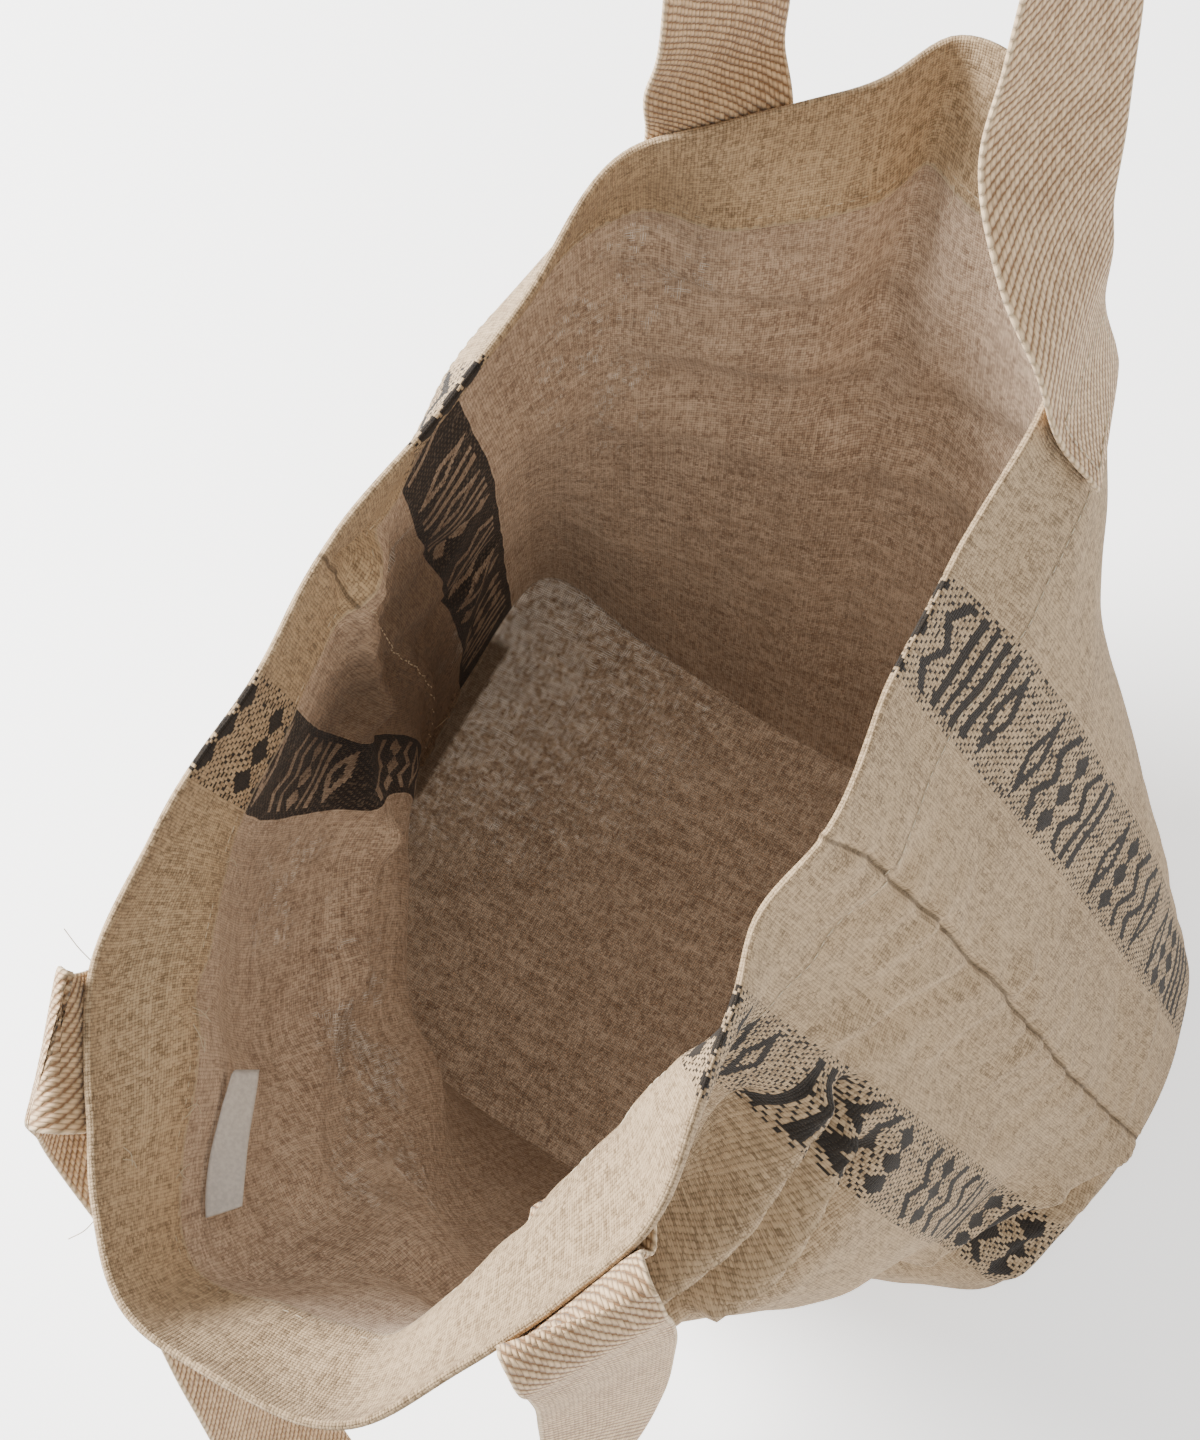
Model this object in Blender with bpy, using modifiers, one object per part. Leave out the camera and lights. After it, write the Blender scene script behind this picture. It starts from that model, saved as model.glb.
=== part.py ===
"""Linen tote bag standing open, with two webbing handles.

One length of linen makes both walls and the base.  Its two sides are sewn together,
its lower corners are boxed by a cross seam at each end, and its top edge is turned
inside as a deep hem.  The walls hang between the rim and the foot; the tables below
give both at a row of stations around the bag, with the folds that lie between them.

Frame: metres, +Z up, origin under the middle of the base, X along the base,
Y from the front panel to the back panel.
"""
import math
from collections import namedtuple

import bmesh
import bpy
import numpy as np

MM = 0.001

# Driving dimensions of the sewn bag
PANEL_WIDTH = 460 * MM
WALL_HEIGHT = 325 * MM
HEM_DEPTH = 40 * MM
LINEN_THICKNESS = 1.2 * MM
HEM_THICKNESS = 2.4 * MM
STRAP_WIDTH = 40 * MM
STRAP_THICKNESS = 2.4 * MM
LABEL_LENGTH = 36 * MM
LABEL_WIDTH = 14 * MM
LABEL_THICKNESS = 1.0 * MM
LABEL_GAP = 0.9 * MM
SEAT_GAP = 0.5 * MM
NORMAL_REACH = 4 * MM

# Once around the rim, from the left side seam by the back panel to the right seam and
# on by the front panel
GIRTH = 2 * PANEL_WIDTH

# Middles of the strap ends, along the rim
BACK_STRAP_ENDS = (156 * MM, 314 * MM)
FRONT_STRAP_ENDS = (592 * MM, 783 * MM)

# Where the label's middle lies, along the rim and up from the foot, and how much it
# climbs along its length
LABEL_ALONG = 752 * MM
LABEL_UP = 254 * MM
LABEL_CLIMB = 0.35

# Where folds and pushes fade out towards the foot and the rim
FOLD_FOOT_FADE = 40 * MM
FOLD_RIM_FADE_SHARE = 0.15
PUSH_FOOT_FADE = 30 * MM
PUSH_RIM_FADE = 80 * MM

# How far the neck under the hem reaches down, and how much a drawn-in neck is lifted
NECK_REACH_SHARE = 0.30
NECK_LIFT = 0.3

# Facet sizes
COLUMN_STEP = 12 * MM
ROW_STEP = 24 * MM
HEM_ROW_STEP = 10 * MM
STRAP_CELLS = 4
STRAP_STEP = 12 * MM
BASE_RINGS = (0.90, 0.62, 0.28)

# The linen at stations around the bag, in millimetres: the rim's place, the place of
# the fold or seam at the foot under it, how far the wall swells out half way up
# (belly) and how far it stands out, or in when negative, at the hem's lower edge
# (shoulder)
Station = namedtuple("Station", "along rim_x rim_y rim_z foot_x foot_y belly shoulder")
STATIONS = (
    Station(0, -75, 2, 312, -164, -9, 0, 0),
    Station(42, -71, 44, 309, -165, 32, 2, 8),
    Station(85, -69, 88, 305, -160, 83, 2, 14),
    Station(136, -66, 143, 301, -107, 80, 0, 8),
    Station(160, -46, 160, 300, -82, 78, 0, -3),
    Station(180, -32, 172, 299, -62, 76, 0, -4),
    Station(205, -16, 188, 298, -36, 74, 0, -4),
    Station(222, -6, 204, 298, -19, 74, 0, -3),
    Station(238, 9, 207, 298, -3, 74, 0, -6),
    Station(268, 34, 186, 298, 27, 74, 4, 0),
    Station(306, 62, 153, 299, 65, 74, 8, 4),
    Station(335, 68, 122, 301, 94, 74, 12, 6),
    Station(381, 69, 74, 305, 136, 70, 12, 4),
    Station(415, 72, 42, 308, 148, 42, 4, 0),
    Station(460, 78, 0, 312, 152, 3, 0, 0),
    Station(487, 73, -25, 309, 149, -22, 0, -1),
    Station(506, 78, -41, 308, 144, -40, 2, -10),
    Station(540, 81, -70, 299, 131, -70, 2, -24),
    Station(560, 83, -92, 290, 114, -79, 2, -32),
    Station(592, 74, -120, 286, 84, -91, 2, -31),
    Station(626, 61, -147, 287, 51, -101, 2, -22),
    Station(659, 44, -174, 290, 19, -107, 2, -13),
    Station(695, 7, -182, 293, -17, -112, 2, -7),
    Station(719, -18, -181, 295, -41, -113, 0, 0),
    Station(747, -40, -164, 297, -70, -112, 0, -5),
    Station(764, -50, -150, 298, -87, -110, 0, -12),
    Station(803, -73, -118, 300, -124, -101, 0, -21),
    Station(840, -77, -80, 304, -155, -84, 0, -12),
    Station(885, -74, -34, 309, -163, -43, 0, -5),
)

# Soft ridges (depth outwards) and troughs (depth below zero) along a line on the cloth
Fold = namedtuple("Fold", "name from_along from_up to_along to_up depth width")
FOLDS = (
    Fold("ridge from the pushed corner to the hem", 750, 110, 676, 225, -14, 26),
    Fold("right front corner set in", 522, 62, 556, 75, -10, 26),
    Fold("belly beside the right strap end", 575, 140, 596, 175, 8, 36),
    Fold("bulge under the right strap end", 642, 212, 664, 225, 12, 24),
)

# Places where the wall is pushed bodily towards the inside
Push = namedtuple("Push", "name along up reach_along reach_up push_x push_y")
PUSHES = (
    Push("left front corner", 836, 110, 74, 80, 22, 44),
)

# Free length of each strap from one rim crossing to the other: the middle of the
# webbing and the direction across it
StrapPoint = namedtuple("StrapPoint", "x y z across_x across_y across_z")
BACK_STRAP = (
    StrapPoint(-49, 161, 316, 0.58, 0.80, -0.13),
    StrapPoint(-44, 164, 334, 0.44, 0.89, -0.13),
    StrapPoint(-40, 167, 356, 0.28, 0.94, -0.18),
    StrapPoint(-38, 179, 400, 0.10, 0.95, -0.28),
    StrapPoint(-38, 198, 455, 0.02, 0.94, -0.34),
    StrapPoint(-32, 214, 505, 0.00, 0.93, -0.37),
    StrapPoint(-14, 227, 543, 0.00, 0.93, -0.38),
    StrapPoint(12, 230, 550, 0.00, 0.92, -0.40),
    StrapPoint(35, 222, 525, 0.02, 0.92, -0.41),
    StrapPoint(46, 207, 475, 0.06, 0.91, -0.42),
    StrapPoint(48, 185, 403, 0.18, 0.88, -0.42),
    StrapPoint(50, 170, 375, 0.35, 0.87, -0.35),
    StrapPoint(51, 158, 354, 0.47, 0.85, -0.27),
    StrapPoint(55, 150, 333, 0.22, 0.95, -0.22),
    StrapPoint(60, 146, 316, 0.00, 0.99, -0.12),
)
FRONT_STRAP = (
    StrapPoint(78, -123, 291, -0.47, -0.88, 0.00),
    StrapPoint(83, -128, 284, -0.50, -0.86, 0.00),
    StrapPoint(83, -132, 262, -0.52, -0.85, 0.04),
    StrapPoint(77, -145, 208, -0.50, -0.85, 0.13),
    StrapPoint(73, -160, 167, -0.42, -0.88, 0.22),
    StrapPoint(69, -180, 136, -0.32, -0.88, 0.34),
    StrapPoint(61, -205, 108, -0.20, -0.85, 0.46),
    StrapPoint(45, -228, 88, -0.12, -0.84, 0.52),
    StrapPoint(20, -242, 80, -0.02, -0.85, 0.52),
    StrapPoint(-4, -240, 94, 0.06, -0.88, 0.46),
    StrapPoint(-21, -223, 130, 0.10, -0.92, 0.38),
    StrapPoint(-35, -197, 182, 0.20, -0.95, 0.22),
    StrapPoint(-60, -160, 242, 0.28, -0.95, 0.05),
    StrapPoint(-74, -143, 282, 0.34, -0.93, -0.06),
    StrapPoint(-73, -139, 300, 0.40, -0.91, -0.08),
    StrapPoint(-66, -138, 307, 0.52, -0.85, -0.03),
)

LINEN_COLOUR = (0.49, 0.40, 0.29, 1.0)
WEBBING_COLOUR = (0.54, 0.38, 0.22, 1.0)
LABEL_COLOUR = (0.78, 0.76, 0.73, 1.0)


def remove_all_objects():
    """Empty the scene."""
    for obj in list(bpy.data.objects):
        bpy.data.objects.remove(obj, do_unlink=True)


def make_material(name, colour, roughness):
    """A plain cloth material."""
    material = bpy.data.materials.new(name)
    material.use_nodes = True
    shader = material.node_tree.nodes["Principled BSDF"]
    shader.inputs["Base Color"].default_value = colour
    shader.inputs["Roughness"].default_value = roughness
    shader.inputs["Metallic"].default_value = 0.0
    material.diffuse_color = colour
    return material


def smooth_tangents(places, values):
    """Slopes of a smooth curve through the values."""
    steps = np.diff(places)
    slopes = np.diff(values, axis=0) / steps.reshape((-1,) + (1,) * (values.ndim - 1))
    tangents = np.empty_like(values)
    tangents[0] = slopes[0]
    tangents[-1] = slopes[-1]
    before = steps[:-1].reshape((-1,) + (1,) * (values.ndim - 1))
    after = steps[1:].reshape((-1,) + (1,) * (values.ndim - 1))
    tangents[1:-1] = (slopes[:-1] * after + slopes[1:] * before) / (before + after)
    return tangents


def smooth_curve(places, values, at):
    """Cubic curve through the values, read at any place."""
    tangents = smooth_tangents(places, values)
    index = np.clip(np.searchsorted(places, at, side="right") - 1, 0, len(places) - 2)
    step = places[index + 1] - places[index]
    t = (at - places[index]) / step
    if values.ndim > 1:
        t = t[..., None]
        step = step[..., None]
    start = (2 * t**3 - 3 * t**2 + 1) * values[index] + (t**3 - 2 * t**2 + t) * step * tangents[index]
    end = (3 * t**2 - 2 * t**3) * values[index + 1] + (t**3 - t**2) * step * tangents[index + 1]
    return start + end


def station_column(column, along):
    """One column of the station table around the closed rim."""
    places = np.array([row.along for row in STATIONS]) * MM
    values = np.array([getattr(row, column) for row in STATIONS]) * MM
    places = np.concatenate([places - GIRTH, places, places + GIRTH])
    values = np.concatenate([values, values, values])
    return smooth_curve(places, values, np.mod(along, GIRTH))


def swell(share, middle, below, above):
    """Smooth hump that reaches its top at a share of the height."""
    reach = np.where(share < middle, below, above)
    distance = np.clip(np.abs(share - middle) / reach, 0, 1)
    return 0.5 * (1 + np.cos(math.pi * distance))


def outward(along):
    """Level direction out of the bag."""
    reach = COLUMN_STEP
    ahead_x = station_column("rim_x", along + reach) + station_column("foot_x", along + reach)
    ahead_y = station_column("rim_y", along + reach) + station_column("foot_y", along + reach)
    behind_x = station_column("rim_x", along - reach) + station_column("foot_x", along - reach)
    behind_y = station_column("rim_y", along - reach) + station_column("foot_y", along - reach)
    run = np.stack([ahead_x - behind_x, ahead_y - behind_y], -1)
    run = run / np.linalg.norm(run, axis=-1, keepdims=True)
    return np.stack([-run[..., 1], run[..., 0], 0 * along], -1)


def fold_depth(along, up):
    """How far the folds move the cloth out at a place on it."""
    total = np.zeros(np.shape(along))
    for fold in FOLDS:
        run = (fold.to_along - fold.from_along) * MM
        rise = (fold.to_up - fold.from_up) * MM
        aside = along - fold.from_along * MM
        above = up - fold.from_up * MM
        share = np.clip((aside * run + above * rise) / (run * run + rise * rise), 0, 1)
        distance = np.hypot(aside - share * run, above - share * rise)
        total = total + fold.depth * MM * np.exp(-((distance / (fold.width * MM)) ** 2))
    return total


def cloth_point(along, up):
    """Outer face of the linen at a place given along the rim and up from the foot."""
    share = up / WALL_HEIGHT
    rim = np.stack([station_column(name, along) for name in ("rim_x", "rim_y", "rim_z")], -1)
    foot_x = station_column("foot_x", along)
    foot_y = station_column("foot_y", along)
    foot = np.stack([foot_x, foot_y, 0 * along], -1)
    shoulder = station_column("shoulder", along)
    hem_line = 1 - HEM_DEPTH / WALL_HEIGHT
    neck = swell(share, hem_line, NECK_REACH_SHARE, 1 - hem_line)
    still_at_foot = np.clip(up / FOLD_FOOT_FADE, 0, 1)
    still_at_rim = np.clip((1 - share) / FOLD_RIM_FADE_SHARE, 0, 1)
    out = station_column("belly", along) * np.sin(math.pi * share)
    out = out + shoulder * neck
    out = out + fold_depth(along, up) * still_at_foot * still_at_rim
    point = foot + (rim - foot) * share[..., None] + outward(along) * out[..., None]
    point[..., 2] += NECK_LIFT * np.maximum(-shoulder, 0) * neck
    for push in PUSHES:
        aside = (along - push.along * MM + GIRTH / 2) % GIRTH - GIRTH / 2
        near = np.exp(-((aside / (push.reach_along * MM)) ** 2)
                      - ((up - push.up * MM) / (push.reach_up * MM)) ** 2)
        near = near * np.clip(up / PUSH_FOOT_FADE, 0, 1)
        near = near * np.clip((WALL_HEIGHT - up) / PUSH_RIM_FADE, 0, 1)
        point[..., 0] += push.push_x * MM * near
        point[..., 1] += push.push_y * MM * near
    return point


def cloth_normal(along, up):
    """Direction square to the linen's outer face."""
    run = cloth_point(along + NORMAL_REACH, up) - cloth_point(along - NORMAL_REACH, up)
    top = np.minimum(up + NORMAL_REACH, WALL_HEIGHT)
    rise = cloth_point(along, top) - cloth_point(along, up - NORMAL_REACH)
    normal = np.cross(rise, run)
    return normal / np.linalg.norm(normal, axis=-1, keepdims=True)


def marks_between(marks, step):
    """The marks with even places between them, none further apart than a step."""
    places = [marks[0]]
    for start, end in zip(marks[:-1], marks[1:]):
        count = max(1, math.ceil((end - start) / step - 1e-6))
        places.extend(np.linspace(start, end, count + 1)[1:])
    return np.array(places)


def column_places():
    """Columns of the linen's facets, which share the edges of the strap ends."""
    marks = [0.0, GIRTH]
    for middle in BACK_STRAP_ENDS + FRONT_STRAP_ENDS:
        marks.append(middle - STRAP_WIDTH / 2)
        marks.append(middle + STRAP_WIDTH / 2)
    return marks_between(sorted(marks), COLUMN_STEP)[:-1]


def row_places():
    """Rows of the linen's facets, from the foot to the rim."""
    hem_line = WALL_HEIGHT - HEM_DEPTH
    lower = marks_between([0.0, hem_line], ROW_STEP)
    upper = marks_between([hem_line, WALL_HEIGHT], HEM_ROW_STEP)
    return np.concatenate([lower, upper[1:]])


def add_object(name, mesh, material, collection):
    """Link a mesh as a named object with its material."""
    mesh.materials.append(material)
    obj = bpy.data.objects.new(name, mesh)
    collection.objects.link(obj)
    return obj


def add_thickness(obj, thickness, offset):
    """Give an open sheet its thickness."""
    solidify = obj.modifiers.new("thickness", "SOLIDIFY")
    solidify.thickness = thickness
    solidify.offset = offset
    solidify.use_even_offset = True
    solidify.use_rim = True
    return solidify


def mesh_from_bmesh(name, bm):
    """Close a bmesh into mesh data with smooth faces."""
    bm.normal_update()
    mesh = bpy.data.meshes.new(name)
    bm.to_mesh(mesh)
    bm.free()
    mesh.shade_smooth()
    return mesh


def build_bag_body(material, collection):
    """Walls and base as one length of linen, doubled at the hem."""
    columns = column_places()
    rows = row_places()
    along, up = np.meshgrid(columns, rows, indexing="ij")
    points = cloth_point(along, up)
    bm = bmesh.new()
    rings = []
    for row in range(len(rows)):
        rings.append([bm.verts.new(points[column, row]) for column in range(len(columns))])
    foot = points[:, 0, :]
    middle = foot.mean(axis=0)
    inner = rings[0]
    for share in BASE_RINGS:
        ring = [bm.verts.new(middle + (place - middle) * share) for place in foot]
        join_rings(bm, ring, inner)
        inner = ring
    bm.faces.new(inner)
    for lower, upper in zip(rings[:-1], rings[1:]):
        join_rings(bm, lower, upper)
    bmesh.ops.recalc_face_normals(bm, faces=bm.faces)
    mesh = mesh_from_bmesh("bag_body", bm)
    obj = add_object("bag_body", mesh, material, collection)
    hem = obj.vertex_groups.new(name="hem")
    single = LINEN_THICKNESS / HEM_THICKNESS
    vertices_per_ring = len(columns)
    for vertex in mesh.vertices:
        row = vertex.index // vertices_per_ring
        doubled = row < len(rows) and rows[row] > WALL_HEIGHT - HEM_DEPTH
        hem.add([vertex.index], 1.0 if doubled else single, "REPLACE")
    solidify = add_thickness(obj, HEM_THICKNESS, -1.0)
    solidify.vertex_group = "hem"
    return obj


def join_rings(bm, lower, upper):
    """Quads between two closed rings of equal count."""
    count = len(lower)
    for index in range(count):
        following = (index + 1) % count
        bm.faces.new((lower[index], lower[following], upper[following], upper[index]))


def add_sheet(name, grid, material, collection, thickness, offset):
    """A sheet through a grid of points, with its thickness."""
    bm = bmesh.new()
    verts = [[bm.verts.new(point) for point in line] for line in grid]
    for near, far in zip(verts[:-1], verts[1:]):
        for index in range(len(near) - 1):
            bm.faces.new((near[index], near[index + 1], far[index + 1], far[index]))
    mesh = mesh_from_bmesh(name, bm)
    obj = add_object(name, mesh, material, collection)
    add_thickness(obj, thickness, offset)
    return obj


def sewn_end(middle, direction):
    """Lines of points across a strap end on the wall, from its cut end to the rim."""
    across = np.linspace(-0.5, 0.5, STRAP_CELLS + 1) * STRAP_WIDTH * direction
    lines = []
    for up in marks_between([WALL_HEIGHT - HEM_DEPTH, WALL_HEIGHT], HEM_ROW_STEP):
        along = middle + across
        level = np.full(along.shape, up)
        lines.append(cloth_point(along, level) + cloth_normal(along, level) * SEAT_GAP)
    return lines


def free_length(points, start_line, end_line):
    """Lines of points across the free webbing between its two rim crossings."""
    middles = [start_line.mean(axis=0)]
    acrosses = [start_line[-1] - start_line[0]]
    for point in points:
        middles.append(np.array([point.x, point.y, point.z]) * MM)
        acrosses.append(np.array([point.across_x, point.across_y, point.across_z]))
    middles.append(end_line.mean(axis=0))
    acrosses.append(end_line[-1] - end_line[0])
    middles = np.array(middles)
    acrosses = np.array([across / np.linalg.norm(across) for across in acrosses])
    distances = np.linalg.norm(np.diff(middles, axis=0), axis=1)
    places = np.concatenate([[0.0], np.cumsum(distances)])
    count = math.ceil(places[-1] / STRAP_STEP)
    at = np.linspace(0, places[-1], count + 1)
    middle = smooth_curve(places, middles, at)
    across = smooth_curve(places, acrosses, at)
    run = np.gradient(middle, axis=0)
    run = run / np.linalg.norm(run, axis=1, keepdims=True)
    across = across - run * np.sum(across * run, axis=1, keepdims=True)
    across = across / np.linalg.norm(across, axis=1, keepdims=True)
    shares = np.linspace(-0.5, 0.5, STRAP_CELLS + 1)
    lines = []
    for index in range(1, count):
        lines.append(middle[index] + np.outer(shares, across[index]) * STRAP_WIDTH)
    return lines


def build_strap(name, ends, points, material, collection):
    """One handle: sewn to the wall, over its free length, and sewn to the wall again."""
    first = sewn_end(ends[0], 1)
    last = sewn_end(ends[1], -1)[::-1]
    lines = first + free_length(points, first[-1], last[0]) + last
    return add_sheet(name, lines, material, collection, STRAP_THICKNESS, -1.0)


def build_label(material, collection):
    """The small blank label on the inside of the front wall, under the hem."""
    lines = []
    for above in np.linspace(-0.5, 0.5, 3) * LABEL_WIDTH:
        run = np.linspace(-0.5, 0.5, 7) * LABEL_LENGTH
        along = LABEL_ALONG + run
        up = LABEL_UP + above - run * LABEL_CLIMB
        depth = LINEN_THICKNESS + LABEL_GAP
        lines.append(cloth_point(along, up) - cloth_normal(along, up) * depth)
    return add_sheet("care_label", lines, material, collection, LABEL_THICKNESS, 1.0)


def main():
    """Build the bag's four pieces."""
    remove_all_objects()
    collection = bpy.data.collections.new("linen_tote_bag")
    bpy.context.scene.collection.children.link(collection)
    linen = make_material("linen", LINEN_COLOUR, 0.9)
    back_webbing = make_material("jute_webbing_back", WEBBING_COLOUR, 0.85)
    front_webbing = make_material("jute_webbing_front", WEBBING_COLOUR, 0.85)
    satin = make_material("label_satin", LABEL_COLOUR, 0.5)
    build_bag_body(linen, collection)
    build_strap("handle_back", BACK_STRAP_ENDS, BACK_STRAP, back_webbing, collection)
    build_strap("handle_front", FRONT_STRAP_ENDS, FRONT_STRAP, front_webbing, collection)
    build_label(satin, collection)


main()
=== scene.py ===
"""Linen tote bag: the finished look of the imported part.

The cloth is described by where it lies along the rim and how far up from the foot.
The same tables as the part's own give the shape in which it hangs; this file adds the
small creases, the hem, the seams, the weave, the stitches and the loose threads.
"""

import math
from collections import namedtuple
from functools import partial, reduce

import bmesh
import bpy
import numpy as np
from mathutils import Matrix, Vector


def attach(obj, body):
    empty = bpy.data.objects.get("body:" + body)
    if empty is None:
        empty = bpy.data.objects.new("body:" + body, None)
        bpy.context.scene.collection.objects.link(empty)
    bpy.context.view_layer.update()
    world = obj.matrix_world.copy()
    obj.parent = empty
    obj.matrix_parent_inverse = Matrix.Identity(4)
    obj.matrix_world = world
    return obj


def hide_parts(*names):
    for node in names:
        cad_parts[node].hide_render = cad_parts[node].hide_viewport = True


bl_info = {
    "name": "Linen tote bag",
    "version": (1, 0, 0),
    "blender": (4, 5, 0),
    "location": "3D View > Sidebar > Tote bag",
    "description": "Builds the cloth, webbing, label and stitching of a linen tote bag",
    "category": "Object",
}

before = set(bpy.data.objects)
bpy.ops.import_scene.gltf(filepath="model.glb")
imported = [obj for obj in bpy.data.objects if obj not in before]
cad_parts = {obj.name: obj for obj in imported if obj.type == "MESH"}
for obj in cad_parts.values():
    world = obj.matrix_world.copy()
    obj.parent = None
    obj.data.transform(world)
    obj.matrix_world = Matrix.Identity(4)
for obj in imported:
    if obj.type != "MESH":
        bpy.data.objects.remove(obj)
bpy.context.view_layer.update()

MM = 0.001

# Driving dimensions of the sewn bag, the same as the solids'
PANEL_WIDTH = 460 * MM
WALL_HEIGHT = 325 * MM
HEM_DEPTH = 40 * MM
STRAP_WIDTH = 40 * MM
STRAP_THICKNESS = 2.2 * MM
SEWN_LENGTH = 33 * MM
SEAT_GAP = 0.5 * MM
NORMAL_REACH = 4 * MM
GIRTH = 2 * PANEL_WIDTH
FOLD_FOOT_FADE = 40 * MM
FOLD_RIM_FADE_SHARE = 0.15
PUSH_FOOT_FADE = 30 * MM
PUSH_RIM_FADE = 80 * MM
NECK_REACH_SHARE = 0.30
NECK_LIFT = 0.3
PLEAT_END = 7
PLEAT_OUT = 0.35
SEAM_WANDER = 0.8 * MM
SEAM_DRIFT = 4.5 * MM
PUCKER_DEPTH = 1.1 * MM
GROOVE_DEPTH = 1.7 * MM
GROOVE_WIDTH = 1.2 * MM

# Cut sizes of the pieces before they are sewn
LABEL_WIDTH = 14 * MM
LABEL_LENGTH = 36 * MM

# Middles of the strap ends, along the rim. The back one's second end lies 9 mm further
# round than the solid's, and its path is led there.
BACK_STRAP_ENDS = (156 * MM, 323 * MM)
FRONT_STRAP_ENDS = (592 * MM, 783 * MM)

# The linen at stations around the bag, in millimetres: the rim's place, the place of
# the fold or seam at the foot under it, how far the wall swells out half way up
# (belly) and how far it stands out, or in when negative, at the hem's lower edge
# (shoulder)
Station = namedtuple("Station", "along rim_x rim_y rim_z foot_x foot_y belly shoulder")
STATIONS = (
    Station(0, -75, 2, 312, -164, -9, 0, 0),
    Station(42, -71, 44, 309, -165, 32, 2, 8),
    Station(85, -69, 88, 305, -160, 83, 2, 14),
    Station(136, -66, 143, 301, -107, 80, 0, 8),
    Station(160, -46, 160, 300, -82, 78, 0, -3),
    Station(180, -32, 172, 299, -62, 76, 0, -4),
    Station(205, -16, 188, 298, -36, 74, 0, -4),
    Station(222, -6, 204, 298, -19, 74, 0, -3),
    Station(238, 9, 207, 298, -3, 74, 0, -6),
    Station(268, 34, 186, 298, 27, 74, 4, 0),
    Station(306, 62, 153, 299, 65, 74, 8, 4),
    Station(335, 68, 122, 301, 94, 74, 12, 6),
    Station(381, 69, 74, 305, 136, 70, 12, 4),
    Station(415, 72, 42, 308, 148, 42, 4, 0),
    Station(460, 78, 0, 312, 152, 3, 0, 0),
    Station(487, 73, -25, 309, 149, -22, 0, -1),
    Station(506, 78, -41, 308, 144, -40, 2, -10),
    Station(540, 81, -70, 299, 131, -70, 2, -24),
    Station(560, 83, -92, 290, 114, -79, 2, -32),
    Station(592, 74, -120, 286, 84, -91, 2, -31),
    Station(626, 61, -147, 287, 51, -101, 2, -22),
    Station(659, 44, -174, 290, 19, -107, 2, -13),
    Station(695, 7, -182, 293, -17, -112, 2, -7),
    Station(719, -18, -181, 295, -41, -113, 0, 0),
    Station(747, -40, -164, 297, -70, -112, 0, -5),
    Station(764, -50, -150, 298, -87, -110, 0, -12),
    Station(803, -73, -118, 300, -124, -101, 0, -21),
    Station(840, -77, -80, 304, -155, -84, 0, -12),
    Station(885, -74, -34, 309, -163, -43, 0, -5),
)

# Soft ridges (depth outwards) and troughs (depth below zero) along a line on the cloth
Fold = namedtuple("Fold", "name from_along from_up to_along to_up depth width")
FOLDS = (
    Fold("ridge from the pushed corner to the hem", 750, 110, 676, 225, -14, 26),
    Fold("right front corner set in", 522, 62, 556, 75, -10, 26),
    Fold("belly beside the right strap end", 575, 140, 596, 175, 8, 36),
    Fold("bulge under the right strap end", 642, 212, 664, 225, 12, 24),
)

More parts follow.
